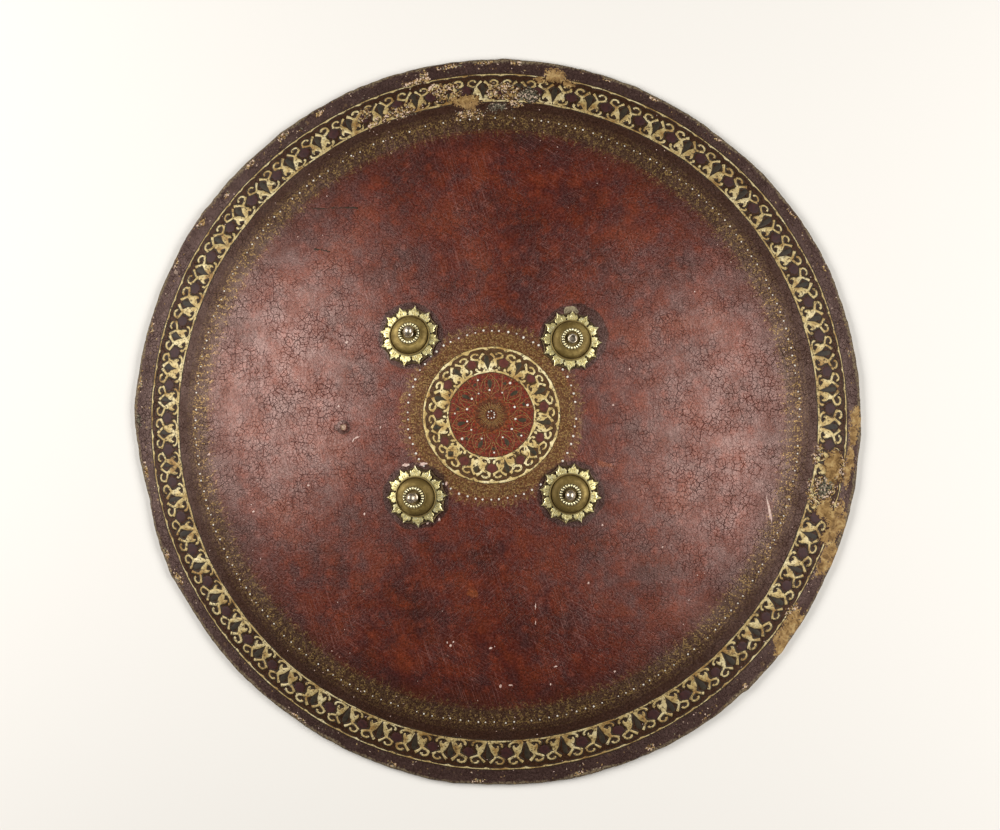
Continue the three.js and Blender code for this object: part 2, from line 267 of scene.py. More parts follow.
shieldForm = {
    "rimRadius": 270,
    "flareWidth": 38,
    "domeRadius": 480,
    "rimSlope": 6,
    "hideThickness": 5.5,
    "edgeRound": 1.5,
    "footDepth": 0.6,
    "edgeWaves": ((2, -1.06, 0.14), (3, 0.42, -0.31), (5, -0.44, 0.5)),  # count, sine, cosine
    "edgeBites": ((40, 4, 0.8), (115, 5, 0.8), (187, 5, -0.9), (214, 6, 0.7), (245, 4, -1.2), (259, 5, 2.4),
                  (272, 4, -1.6), (291, 6, 0.7)),  # angle, span, depth
    "knifeCuts": 118,  # straight cuts that trimmed the edge
    "knifeSlip": 0.55,
    "unevenness": 0.2,
    "wart": {"x": -108.2, "y": -7.9, "radius": 3.6, "height": 1.7},
}

turnRadius = shieldForm["rimRadius"] - shieldForm["flareWidth"]
edgeRadius = shieldForm["rimRadius"] - shieldForm["edgeRound"]
turnSlope = math.asin(turnRadius / shieldForm["domeRadius"])
edgeSlope = math.radians(shieldForm["rimSlope"])
flareRadius = (edgeRadius - turnRadius) / (math.sin(turnSlope) - math.sin(edgeSlope))
edgeHeight = shieldForm["hideThickness"] * math.cos(edgeSlope) - shieldForm["footDepth"]
turnHeight = edgeHeight + flareRadius * (math.cos(edgeSlope) - math.cos(turnSlope))
domeMiddle = turnHeight - shieldForm["domeRadius"] * math.cos(turnSlope)


def faceProfile(radius):
    # height and slope of the face: an arc of the dome, then past the turn an opposite arc out to the rim
    radius = np.clip(radius, 0, edgeRadius)
    onDome = radius <= turnRadius
    sine = np.where(onDome, radius / shieldForm["domeRadius"],
                    math.sin(turnSlope) - (radius - turnRadius) / flareRadius)
    slope = np.arcsin(sine)
    dome = domeMiddle + shieldForm["domeRadius"] * np.cos(slope)
    flare = turnHeight - flareRadius * (np.cos(slope) - math.cos(turnSlope))
    return np.where(onDome, dome, flare), slope


def unevenness(x, y):
    # shallow waves of many lengths and directions, as on hide dried over a form
    rng = np.random.default_rng(11)
    total = np.zeros_like(x)
    for length in np.geomspace(34, 190, 12):
        heading, phase = rng.uniform(0, 2 * math.pi, 2)
        along = x * math.cos(heading) + y * math.sin(heading)
        total += (length / 190) ** 0.8 * np.sin(2 * math.pi * along / length + phase)
    wart = shieldForm["wart"]
    away = np.hypot(x - wart["x"], y - wart["y"]) / wart["radius"]
    lump = wart["height"] * (np.exp(-away ** 2) - 0.75 * np.exp(-(away * 2.2) ** 2))
    return total * shieldForm["unevenness"] / 2 + lump


# Where lacquer and gilding are lost: angle, radius, half length along the rim, half width across it
lostPatches = {
    "bareTan": (
        (89.8, 265.5, 9, 4.5), (92.6, 264.2, 10, 3.2), (96.8, 263.0, 16, 3.4), (97.4, 250.3, 12, 5.2),
        (105.6, 251.4, 8.5, 6.0), (107.6, 262.0, 15, 7.4), (112.6, 264.8, 13, 5.2), (125.8, 264.6, 15, 5.6),
        (128.6, 268.0, 7, 3.6), (354.4, 237.4, 12, 5.2), (9.8, 261.6, 9, 5.6), (11.8, 257.0, 5, 3.6),
        (7.2, 256.0, 3.4, 3.2),
    ),
    "greyGround": (
        (0.3, 232.6, 9.5, 2.9), (6.2, 242.4, 8, 5.8), (101.6, 248.0, 8, 4.6), (270.2, 267.0, 6, 2.2),
    ),
    "flaked": (
        (351.2, 247.0, 15, 7.2), (0.6, 245.2, 12, 6.5), (343.1, 240.8, 13, 5.5), (347.9, 262.0, 3.6, 5.0),
        (338.6, 240.2, 10, 4.2), (102.6, 247.0, 12, 9.5), (98.6, 257.4, 9, 4.4), (104.8, 258, 10, 4),
        (354.8, 228.6, 12, 3.6), (345.9, 259.5, 9, 3.0), (3.8, 237.6, 6, 4.0), (336.4, 249.4, 7, 5.0),
        (96.2, 238.4, 6, 4.0), (123.0, 260.0, 6, 4.0),
    ),
}

# Chips along the border and the band's lines: angle, radius, half length, half width
smallChips = (
    (38, 266.6, 4, 1.1), (41, 263, 1.4, 0.8), (65, 266.6, 2.4, 1.0), (79.5, 265.6, 3, 1.3),
    (137, 266.5, 3, 1.2),
    (155, 266, 3, 1.6), (167, 267, 4, 1.2), (183, 267, 5, 1.4), (197, 266.5, 3, 1.5), (244, 266, 5, 1.8),
    (248, 267, 4, 1.4), (304, 266.5, 5, 1.6), (310, 264, 3, 1.5), (323, 266.5, 6, 1.5), (326, 263, 2.4, 1.2),
    (330, 266, 4, 1.3), (352, 266.8, 8, 1.5), (358, 267.2, 8, 1.4), (3, 266.6, 6, 1.3), (18, 267, 4, 1.2),
    (26, 267, 5, 1.2), (55, 267.4, 4, 1.0), (145, 266.8, 5, 1.2), (214, 267.4, 5, 1.0), (262, 266.5, 6, 1.4),
    (276, 267.3, 7, 1.2), (285, 267.3, 5, 1.0), (296, 267, 4, 1.0), (316, 267, 4, 1.2),
)

patchEdge = {"wander": 0.34, "wanderCell": 8, "fray": 0.24, "frayCell": 2.6, "depth": 0.3}


def patchShare(patches, x, y):
    # one inside a patch and nought outside: an ellipse along the rim whose edge wanders and frays
    radius, angle = np.hypot(x, y), np.degrees(np.arctan2(x, y))
    fray = patchEdge["wander"] * latticeNoise(x, y, patchEdge["wanderCell"], 21)
    fray = fray + patchEdge["fray"] * latticeNoise(x, y, patchEdge["frayCell"], 22)
    share = np.zeros_like(x)
    for at, out, along, across in patches:
        swing = np.radians((angle - at + 180) % 360 - 180) * out
        away = np.hypot(swing / along, (radius - out) / across) + fray
        share = np.maximum(share, 1 - smoothStep(away, 0.72, 1.25))
    return share


def lostShares(x, y):
    bare = patchShare(lostPatches["bareTan"], x, y)
    grey = patchShare(lostPatches["greyGround"], x, y)
    flaked = patchShare(lostPatches["flaked"] + smallChips, x, y)
    return bare, grey, flaked


def facePoint(x, y, lift):
    # a point on the face above (x, y), raised by lift square to the surface
    radius = np.hypot(x, y)
    height, slope = faceProfile(radius)
    off = lift + unevenness(x, y)
    side = off * np.sin(slope) / np.maximum(radius, 1e-6)
    return np.stack([x * (1 + side), y * (1 + side), height + off * np.cos(slope)], axis=-1)


def edgeWander(angle):
    # slow waves and bites of the trimmed edge, with straight knife cuts between random corners
    out = np.zeros_like(angle)
    for count, sine, cosine in shieldForm["edgeWaves"]:
        out += sine * np.sin(np.radians(count * angle)) + cosine * np.cos(np.radians(count * angle))
    for at, span, depth in shieldForm["edgeBites"]:
        out -= depth * np.exp(-(((angle - at + 180) % 360 - 180) / span) ** 2)
    rng = np.random.default_rng(5)
    corners = np.sort(rng.uniform(0, 360, shieldForm["knifeCuts"]))
    slips = rng.uniform(-1, 1, len(corners)) * shieldForm["knifeSlip"]
    out += np.interp(angle % 360, corners, slips, period=360)
    x, y = edgeRadius * np.sin(np.radians(angle)), edgeRadius * np.cos(np.radians(angle))
    return out + 0.2 * latticeNoise(x, y, 2.4, 31) + 0.3 * latticeNoise(x, y, 6.5, 32)


# The bosses' places on the face

bossForm = {
    "pitch": 114,
    "gap": 0.3,
    "underPlate": {"radius": 22.1, "scallop": 1.9, "thickness": 0.8},
    "star": {"radius": 22.4, "thickness": 1.0},
    "dome": {"radius": 14.9, "wire": 1.1, "height": 5.2},
    "collar": {"radius": 7.9, "bore": 5.4, "height": 1.6, "beads": 22},
    "bolt": {"shank": 2.2, "neck": 3.5, "neckHeight": 1.8, "ball": 3.75},
    "washer": {"radius": 8.5, "thickness": 1.2},
}

# Each boss's lean is how far its upper parts shift for each millimetre of height
bosses = (
    {"name": "top_left", "side": (-1, 1), "drift": (-2.6, 0.3), "turn": 10, "lean": (0.12, 0.09),
     "stain": (0.5, 0.8), "seed": 41},
    {"name": "top_right", "side": (1, 1), "drift": (0, -3.4), "turn": 3, "lean": (0.05, 0.0),
     "stain": (2.6, 3.2), "seed": 42},
    {"name": "bottom_left", "side": (-1, -1), "drift": (3, -1.3), "turn": -2.5, "lean": (-0.12, 0.0),
     "stain": (-0.5, 0.3), "seed": 43},
    {"name": "bottom_right", "side": (1, -1), "drift": (-0.6, 0.5), "turn": 8.5, "lean": (-0.06, 0.0),
     "stain": (0.6, -0.4), "seed": 44},
)


def bossPlace(boss):
    # the boss's middle on the face, seen from above
    half = bossForm["pitch"] / 2
    return boss["side"][0] * half + boss["drift"][0], boss["side"][1] * half + boss["drift"][1]


def bossStand(boss, points):
    # local points, with z up from the dome's surface, onto the boss's place, square to the dome
    x, y = bossPlace(boss)
    height = math.sqrt(shieldForm["domeRadius"] ** 2 - x * x - y * y)
    out = np.array([x, y, height]) / shieldForm["domeRadius"]
    across = np.array([1.0, 0, 0]) - out * out[0]
    across /= np.linalg.norm(across)
    up = np.cross(out, across)
    seat = out * shieldForm["domeRadius"] + np.array([0, 0, domeMiddle])
    raised = np.clip(points[..., 2:3], 0, None)
    shifted = points + raised * np.array([boss["lean"][0], boss["lean"][1], 0])
    return shifted @ np.stack([across, up, out]) + seat


# Lacquered hide

lacquerLook = {
    "deep": "#38110b",
    "field": "#501a0f",
    "warm": "#672b14",
    "bruise": "#331416",
    "spot": "#7c331b",
    "sooty": "#2c1712",
    "medallion": "#741c12",
    "rosette": "#573016",
    "rosetteRing": "#7c3a14",
    "medallionNet": "#3a2414",
    "stippled": "#553417",
    "ring": "#332015",
    "bandGround": "#332013",
    "umberGround": "#4a3318",
    "border": "#31221e",
    "edgeWorn": "#6e614a",
    "tuft": "#a0824e",
    "bareTan": "#8e7045",
    "bareTanDark": "#5c4427",
    "bareTanLight": "#ac9262",
    "greyGround": "#35332a",
    "greyLight": "#6a6552",
    "flake": "#c2a892",
    "flakeDark": "#2c1f18",
    "flakeCell": 0.85,
    "slabCell": 2.6,
    "bossStain": "#22120f",
    "wartRing": "#27120b",
    "wartTop": "#8c7a5a",
    "warmStain": "#80401c",
    "scratch": "#9a7068",
    "crack": "#1c0b08",
    "mottleSize": 42,
    "patchSize": 14,
    "grimeSize": 1.7,
    "spotPitch": 15,
    "grainSize": 1.2,
    "netCell": 2.9,
    "frayCell": 1.6,
    "fibreSize": 5,
    "wornFrom": 272.2,  # radius past which the edge is rubbed through
    "cracked": 0.75,
    "gildMetal": 0.6,
    "roughness": 0.34,
    "sheenTint": "#ffd7c9",
}

# Bands of flat colour, from the middle out: radii, softness of their edges, colour, strength
colourBands = (
    (-5.0, 31.6, 0.4, "medallion", 0.85),
    (12.6, 14.4, 0.8, "rosetteRing", 0.7),
    (-5.0, 12.2, 0.7, "rosette", 0.85),
    (31.5, 48.7, 0.3, "umberGround", 1.0),
    (48.7, 60.0, 1.4, "stippled", 0.9),
    (60.0, 66.5, 2.4, "stippled", 0.5),
    (214.6, 238.6, 1.6, "ring", 0.9),
    (238.5, 259.2, 0.4, "bandGround", 1.0),
    (259.2, 275.0, 0.4, "border", 1.0),
)

goldStipple = {
    "pitch": 1.2,
    "bands": ((48.9, 60.5, 0.85), (211.0, 230.0, 0.2), (11.0, 31.0, 0.25)),  # radii, strength
    "fringes": ((212, 207.5, 225.5), (72, 69.0, 62.0)),  # count of tufts, radii of their narrow and wide ends
    "strength": 0.8,
}

# Nets of cracks: cell, width as a share of it, the noise over which the net comes in, least and most strength
crackNets = ((2.6, 0.10, 0.36, 0.60, 0.4, 0.95), (5.8, 0.056, 0.36, 0.54, 0.3, 1.0))

# Streaks in three directions: turn, length, strength
darkStreaks = {
    "families": ((3, 24, 0.28), (38, 9, 0.28), (-34, 8, 0.28)),
    "width": 0.7,
    "threshold": 0.56,
    "region": 36,
}
paleScratches = {
    "families": ((17, 34, 0.34), (60, 18, 0.28), (-50, 15, 0.24)),
    "width": 0.55,
    "threshold": 0.61,
    "region": 60,
}

# Marks read from the mesh: colour and attribute, strength
handMarks = (("wartRing", 0.85), ("wartTop", 0.75), ("bossStain", 0.86), ("warmStain", 0.7))

# The face is nearly flat, so its patterns are worked out in the plan
planNoise = {"noise_dimensions": "2D"}
planCells = {"voronoi_dimensions": "2D"}


def hideCraze(tree, place):
    # two nets of cracks, fine crazing and a wider one, which come and go together, and dark streaks
    bend = addNode(tree, "TexNoise", planNoise, {
        "Vector": place, "Scale": 1000 / 5, "Detail": 4.0, "Roughness": 0.65})
    bent = addNode(tree, "VectorMath", timesPlus, [bend.outputs["Color"], (0.0011, 0.0011, 0.0011), place])
    patchy = addNode(tree, "TexNoise", planNoise, {"Vector": place, "Scale": 1000 / 26, "Detail": 4.0})
    total = None
    for cell, width, low, high, least, most in crackNets:
        net = addNode(tree, "TexVoronoi", dict(planCells, feature="DISTANCE_TO_EDGE"), {
            "Vector": bent, "Scale": 1000 / cell})
        lines = addNode(tree, "MapRange", smooth, [net, 0.0, width, 1.0, 0.0])
        strength = addNode(tree, "MapRange", None, [patchy, low, high, least, most])
        lines = addNode(tree, "Math", times, [lines, strength])
        pieces = addNode(tree, "TexNoise", planNoise, {
            "Vector": place, "Scale": 1000 / (cell * 1.3), "Detail": 2.0})
        kept = addNode(tree, "MapRange", smooth, [pieces, 0.38, 0.54, 0.25, 1.0])
        lines = addNode(tree, "Math", times, [lines, kept])
        total = lines if total is None else addNode(tree, "Math", largest, [total, lines])
    for lines in hideStreaks(tree, place, bent, darkStreaks):
        total = addNode(tree, "Math", largest, [total, lines])
    return total


def hideStreaks(tree, place, bent, form):
    # fine streaks of three directions: noise on coordinates drawn out along each, in regions of its own
    region = addNode(tree, "TexNoise", planNoise, {"Vector": place, "Scale": 1000 / form["region"]})
    regions = addNode(tree, "SeparateXYZ", None, {"Vector": region.outputs["Color"]})
    families = []
    for share, (turn, length, strength) in zip(regions.outputs, form["families"]):
        drawn = addNode(tree, "Mapping", {"vector_type": "TEXTURE"}, {
            "Vector": bent, "Rotation": (0.0, 0.0, math.radians(turn)),
            "Scale": (form["width"] * mm, length * mm, length * mm)})
        streaks = addNode(tree, "TexNoise", planNoise, {"Vector": drawn, "Scale": 1.0, "Detail": 2.0})
        streaks = addNode(tree, "MapRange", smooth, [streaks, form["threshold"], form["threshold"] + 0.1])
        among = addNode(tree, "MapRange", None, [share, 0.44, 0.60, 0.0, strength])
        families.append(addNode(tree, "Math", times, [streaks, among]))
    return families


def radialBand(tree, radius, inner, outer, soft):
    # one between two radii and nought outside them
    rise = addNode(tree, "MapRange", smooth, [radius, inner - soft, inner + soft])
    fall = addNode(tree, "MapRange", smooth, [radius, outer - soft, outer + soft, 1.0, 0.0])
    return addNode(tree, "Math", times, [rise, fall])


def raggedMask(tree, share, fray, low, high):
    # an attribute's soft patch with its edge broken up by a fine noise
    summed = addNode(tree, "Math", {"operation": "ADD"}, [share, fray])
    return addNode(tree, "MapRange", smooth, [summed, low, high])


def cellMask(tree, share, chance):
    # whole cells of a pattern, as many of them as the share asks for
    over = addNode(tree, "Math", {"operation": "SUBTRACT"}, [share, chance])
    return addNode(tree, "MapRange", smooth, [over, 0.0, 0.06])


def fringeTufts(tree, radius, turns, jitter, count, inner, outer):
    # pointed tufts of dotted paint in a ring, widest at the outer radius
    shaken = addNode(tree, "Math", timesPlus, [turns, float(count), jitter])
    share = addNode(tree, "Math", {"operation": "PINGPONG"}, [shaken, 0.5])
    taper = addNode(tree, "MapRange", None, [radius, inner, outer, 0.02, 0.42])
    away = addNode(tree, "Math", {"operation": "SUBTRACT"}, [taper, share])
    tuft = addNode(tree, "MapRange", smooth, [away, -0.06, 0.1])
    ring = radialBand(tree, radius, min(inner, outer), max(inner, outer), 0.8)
    return addNode(tree, "Math", times, [tuft, ring])


def mottledField(tree, place, radius, coarse, patches, look):
    # the red field, mottled, darkening towards the fringe
    colour = addNode(tree, "ValToRGB", {"stops": [
        (0.30, look["deep"]), (0.52, look["field"]), (0.74, look["warm"])]}, {"Fac": coarse})
    spots = addNode(tree, "TexVoronoi", planCells, {"Vector": place, "Scale": 1000 / look["spotPitch"]})
    waver = addNode(tree, "Math", timesPlus, [patches, 16.0, radius])
    for name, settings, inputs in (
            ("warm", None, [patches, 0.50, 0.68, 0.0, 0.55]),
            ("bruise", None, [patches, 0.48, 0.32, 0.0, 0.6]),
            ("spot", smooth, [spots, 0.05, 0.28, 0.34, 0.0]),
            ("sooty", smooth, [waver, 196.0, 234.0, 0.0, 0.75])):
        mask = addNode(tree, "MapRange", settings, inputs)
        colour = addNode(tree, "MixRGB", None, [mask, colour, look[name]])
    return colour


def ringsOfColour(tree, place, radius, fine, colour, look):
    # the flat bands, and the dark drawing between the medallion's petals
    wavyRadius = addNode(tree, "Math", timesPlus, [fine, 1.6, radius])
    for inner, outer, soft, name, strength in colourBands:
        band = radialBand(tree, wavyRadius, inner, outer, soft)
        share = addNode(tree, "Math", times, [band, strength])
        colour = addNode(tree, "MixRGB", None, [share, colour, look[name]])
    drawing = addNode(tree, "TexVoronoi", dict(planCells, feature="DISTANCE_TO_EDGE"), {
        "Vector": place, "Scale": 1000 / look["netCell"]})
    drawn = addNode(tree, "MapRange", smooth, [drawing, 0.04, 0.2, 0.62, 0.0])
    disc = radialBand(tree, radius, -5.0, 31.0, 0.5)
    drawn = addNode(tree, "Math", times, [drawn, disc])
    return addNode(tree, "MixRGB", None, [drawn, colour, look["medallionNet"]])


def goldDots(tree, place, radius, patches):
    # gold stippling round the medallion and in the dark ring, and the tufts of both fringes
    parts = addNode(tree, "SeparateXYZ", None, {"Vector": place})
    angle = addNode(tree, "Math", {"operation": "ARCTAN2"}, [parts.outputs["X"], parts.outputs["Y"]])
    turns = addNode(tree, "Math", {"operation": "DIVIDE"}, [angle, 2 * math.pi])
    speck = addNode(tree, "TexVoronoi", planCells, {"Vector": place, "Scale": 1000 / goldStipple["pitch"]})
    dots = addNode(tree, "MapRange", smooth, [speck, 0.34, 0.62, 1.0, 0.0])
    speckChance = addNode(tree, "SeparateXYZ", None, {"Vector": speck.outputs["Color"]})
    strength = addNode(tree, "MapRange", None, [speckChance, 0.3, 0.8, 0.12, 1.0])
    dots = addNode(tree, "Math", times, [dots, strength])
    jitter = addNode(tree, "Math", times, [patches, 3.0])
    fringes = [fringeTufts(tree, radius, turns, jitter, *fringe) for fringe in goldStipple["fringes"]]
    gilded = addNode(tree, "Math", {"operation": "ADD"}, fringes)
    for inner, outer, strength in goldStipple["bands"]:
        band = radialBand(tree, radius, inner, outer, 0.5)
        share = addNode(tree, "Math", times, [band, strength])
        gilded = addNode(tree, "Math", {"operation": "ADD", "use_clamp": True}, [gilded, share])
    gilded = addNode(tree, "Math", times, [gilded, dots])
    return addNode(tree, "Math", times, [gilded, goldStipple["strength"]])


def hideLosses(tree, place, radius, coarse, fine, colour, look):
    # the worn edge, flakes, grey ground and tan hide, and where any of them is
    worn = addNode(tree, "Math", timesPlus, [coarse, 8.0, radius])
    worn = addNode(tree, "Math", timesPlus, [fine, 2.0, worn])
    wornMask = addNode(tree, "MapRange", smooth, [worn, look["wornFrom"], look["wornFrom"] + 1.6])
    patchily = addNode(tree, "MapRange", None, [fine, 0.42, 0.56, 0.25, 1.0])
    wornMask = addNode(tree, "Math", times, [wornMask, patchily])
    colour = addNode(tree, "MixRGB", None, [wornMask, colour, look["edgeWorn"]])
    frayNoise = addNode(tree, "TexNoise", planNoise, {
        "Vector": place, "Scale": 1000 / look["frayCell"], "Detail": 3.0})
    frayed = addNode(tree, "VectorMath", timesPlus, [
        frayNoise.outputs["Color"], [look["frayCell"] * mm] * 3, place])
    chips = addNode(tree, "TexVoronoi", planCells, {"Vector": frayed, "Scale": 1000 / look["flakeCell"]})
    chance = addNode(tree, "SeparateXYZ", None, {"Vector": chips.outputs["Color"]})
    flaked = addNode(tree, "Attribute", {"attribute_name": "flaked"}).outputs["Fac"]
    thinly = addNode(tree, "Math", times, [radialBand(tree, radius, 259.5, 275.0, 0.5), 0.045])
    flaked = addNode(tree, "Math", timesPlus, [flaked, 0.75, thinly])
    flakeMask = cellMask(tree, flaked, chance.outputs["Y"])
    slabs = addNode(tree, "TexVoronoi", planCells, {"Vector": frayed, "Scale": 1000 / look["slabCell"]})
    slabChance = addNode(tree, "SeparateXYZ", None, {"Vector": slabs.outputs["Color"]})
    slabShare = addNode(tree, "Math", times, [flaked, 0.5])
    slabMask = cellMask(tree, slabShare, slabChance.outputs["Y"])
    flakeColours = [
        (0.0, look["flakeDark"]), (0.22, look["bareTanDark"]), (0.42, look["bareTan"]),
        (0.6, look["bareTanLight"]), (0.72, look["flake"]), (0.9, look["greyLight"])]
    for mask, pick in ((slabMask, slabChance.outputs["X"]), (flakeMask, chance.outputs["X"])):
        flakeColour = addNode(tree, "ValToRGB", {"steps": flakeColours}, {"Fac": pick})
        colour = addNode(tree, "MixRGB", None, [mask, colour, flakeColour])
    flakeMask = addNode(tree, "Math", largest, [flakeMask, slabMask])
    grey = addNode(tree, "Attribute", {"attribute_name": "greyGround"}).outputs["Fac"]
    greyMask = cellMask(tree, grey, chance.outputs["Z"])
    greyColour = addNode(tree, "ValToRGB", {"stops": [
        (0.0, look["flakeDark"]), (0.4, look["greyGround"]), (0.8, look["greyLight"]),
        (1.0, look["flake"])]}, {"Fac": chance.outputs["X"]})
    colour = addNode(tree, "MixRGB", None, [greyMask, colour, greyColour])
    bare = addNode(tree, "Attribute", {"attribute_name": "bareTan"}).outputs["Fac"]
    bareMask = cellMask(tree, bare, chance.outputs["Y"])
    fibre = addNode(tree, "TexNoise", planNoise, {
        "Vector": place, "Scale": 1000 / look["fibreSize"], "Detail": 6.0, "Roughness": 0.68,
        "Distortion": 0.5})
    bareColour = addNode(tree, "ValToRGB", {"stops": [
        (0.33, look["bareTanDark"]), (0.52, look["bareTan"]), (0.70, look["bareTanLight"])]},
        {"Fac": fibre})
    colour = addNode(tree, "MixRGB", None, [bareMask, colour, bareColour])
    lost = flakeMask
    for mask in (greyMask, bareMask, wornMask):
        lost = addNode(tree, "Math", largest, [lost, mask])
    return colour, lost


def lacqueredHide(look):
    # Shellac over painted rawhide: a soft sheen broken up by crazing, with colours laid on in rings.
    # Its losses show tan hide, grey ground and pale flakes.
    material, tree = newMaterial("crazed shellac on painted rawhide")
    place = addNode(tree, "TexCoord").outputs["Object"]
    radius = addNode(tree, "Attribute", {"attribute_name": "nominalRadius"}).outputs["Fac"]
    coarse = addNode(tree, "TexNoise", planNoise, {
        "Vector": place, "Scale": 1000 / look["mottleSize"], "Detail": 5.0, "Roughness": 0.62})
    patches = addNode(tree, "TexNoise", planNoise, {
        "Vector": place, "Scale": 1000 / look["patchSize"], "Detail": 4.0, "Roughness": 0.6})
    fine = addNode(tree, "TexNoise", planNoise, {
        "Vector": place, "Scale": 1000 / look["grimeSize"], "Detail": 3.0, "Roughness": 0.65})
    craze = hideCraze(tree, place)
    colour = mottledField(tree, place, radius, coarse, patches, look)
    colour = ringsOfColour(tree, place, radius, fine, colour, look)
    gilded = goldDots(tree, place, radius, patches)
    colour = addNode(tree, "MixRGB", None, [gilded, colour, look["tuft"]])

    # the wart's dark ring and pale top, and the stains
    for name, strength in handMarks:
        stain = addNode(tree, "Attribute", {"attribute_name": name}).outputs["Fac"]
        mask = raggedMask(tree, stain, patches, 0.86, 1.14)
        mask = addNode(tree, "Math", times, [mask, strength])
        colour = addNode(tree, "MixRGB", None, [mask, colour, look[name]])
    painted = addNode(tree, "Math", {"operation": "ADD", "use_clamp": True}, [
        radialBand(tree, radius, 219.0, 290.0, 11.0), radialBand(tree, radius, -5.0, 60.0, 4.0)])
    onField = addNode(tree, "Math", timesPlus, [painted, -0.8, 1.0])

    # pale scratches, cracks and the fine grain of dirt
    for streaks in hideStreaks(tree, place, place, paleScratches):
        streaks = addNode(tree, "Math", times, [streaks, onField])
        colour = addNode(tree, "MixRGB", None, [streaks, colour, look["scratch"]])
    darkening = addNode(tree, "Math", times, [craze, look["cracked"]])
    colour = addNode(tree, "MixRGB", None, [darkening, colour, look["crack"]])
    grime = addNode(tree, "MapRange", None, [fine, 0.3, 0.7, 0.7, 1.26])
    colour = addNode(tree, "MixRGB", blended, [1.0, colour, grime])
    grain = addNode(tree, "TexNoise", planNoise, {
        "Vector": place, "Scale": 1000 / look["grainSize"], "Detail": 3.0, "Roughness": 0.6})
    grit = addNode(tree, "MapRange", None, [grain, 0.3, 0.7, 0.78, 1.2])
    colour = addNode(tree, "MixRGB", blended, [1.0, colour, grit])
    colour, lost = hideLosses(tree, place, radius, coarse, fine, colour, look)

    # roughness and relief
    smoothest = look["roughness"] - 0.07
    dull = addNode(tree, "MapRange", None, [fine, 0.3, 0.7, smoothest, smoothest + 0.17])
    dull = addNode(tree, "Math", timesPlus, [craze, 0.18, dull])
    dull = addNode(tree, "Math", {"operation": "MULTIPLY_ADD", "use_clamp": True}, [lost, 0.42, dull])
    sound = addNode(tree, "Math", {"operation": "SUBTRACT", "use_clamp": True}, [1.0, lost])
    metal = addNode(tree, "Math", times, [gilded, sound])
    metal = addNode(tree, "Math", times, [metal, look["gildMetal"]])
    dull = addNode(tree, "Math", {"operation": "MULTIPLY_ADD", "use_clamp": True}, [painted, 0.05, dull])
    gloss = addNode(tree, "MapRange", None, [painted, 0, 1, 0.95, 0.5])
    scroll = addNode(tree, "Math", timesPlus, [radialBand(tree, radius, 237.5, 259.0, 0.5), -0.6, 1.0])
    broken = addNode(tree, "MapRange", None, [fine, 0.3, 0.7, 0.74, 1.2])
    redder = addNode(tree, "MapRange", None, [patches, 0.36, 0.64, 1.22, 0.74])
    cracked = addNode(tree, "Math", timesPlus, [craze, -look["cracked"], 1.0])
    for share in (scroll, broken, redder, cracked):
        gloss = addNode(tree, "Math", times, [gloss, share])
    relief = addNode(tree, "Math", times, [grain, 1.3])
    for share, height in ((craze, -0.9), (patches, 1.8)):
        relief = addNode(tree, "Math", timesPlus, [share, height, relief])
    bump = addNode(tree, "Bump", None, {"Strength": 0.7, "Distance": 0.15 * mm, "Height": relief})
    shader = addNode(tree, "BsdfPrincipled", None, {
        "Base Color": colour, "Roughness": dull, "Normal": bump, "IOR": 1.5, "Specular IOR Level": gloss,
        "Metallic": metal, "Specular Tint": look["sheenTint"]})
    finishMaterial(tree, shader)
    return material


def plainHide():
    # The unpainted back: buffalo hide, dull and fibrous, darkened by oil and handling
    material, tree = newMaterial("oiled raw buffalo hide")
    place = addNode(tree, "TexCoord").outputs["Object"]
    stain = addNode(tree, "TexNoise", None, {
        "Vector": place, "Scale": 1000 / 60, "Detail": 6.0, "Roughness": 0.6})
    pores = addNode(tree, "TexVoronoi", None, {"Vector": place, "Scale": 1000 / 1.8})
    fibre = addNode(tree, "TexNoise", None, {
        "Vector": place, "Scale": 1000 / 4, "Detail": 6.0, "Distortion": 1.2})
    colour = addNode(tree, "ValToRGB", {"stops": [
        (0.3, "#2e1d12"), (0.52, "#4b3220"), (0.75, "#6b4a2e")]}, {"Fac": stain})
    shade = addNode(tree, "MapRange", None, [fibre, 0.3, 0.7, 0.75, 1.2])
    colour = addNode(tree, "MixRGB", blended, [1.0, colour, shade])
    relief = addNode(tree, "Math", timesPlus, [fibre, 1.6, pores])
    bump = addNode(tree, "Bump", None, {"Strength": 0.6, "Distance": 0.3 * mm, "Height": relief})
    shader = addNode(tree, "BsdfPrincipled", None, {
        "Base Color": colour, "Roughness": 0.68, "Normal": bump, "IOR": 1.45})
    finishMaterial(tree, shader)
    return material


hideGrid = {
    "columns": 720,
    "edgeSteps": 9,
    "stainRadius": 24.2,
    "warmStains": ((-14.0, -127.4, 7, 3.6), (81.8, -35.9, 7, 3.2)),  # x, y, half width, half height
}


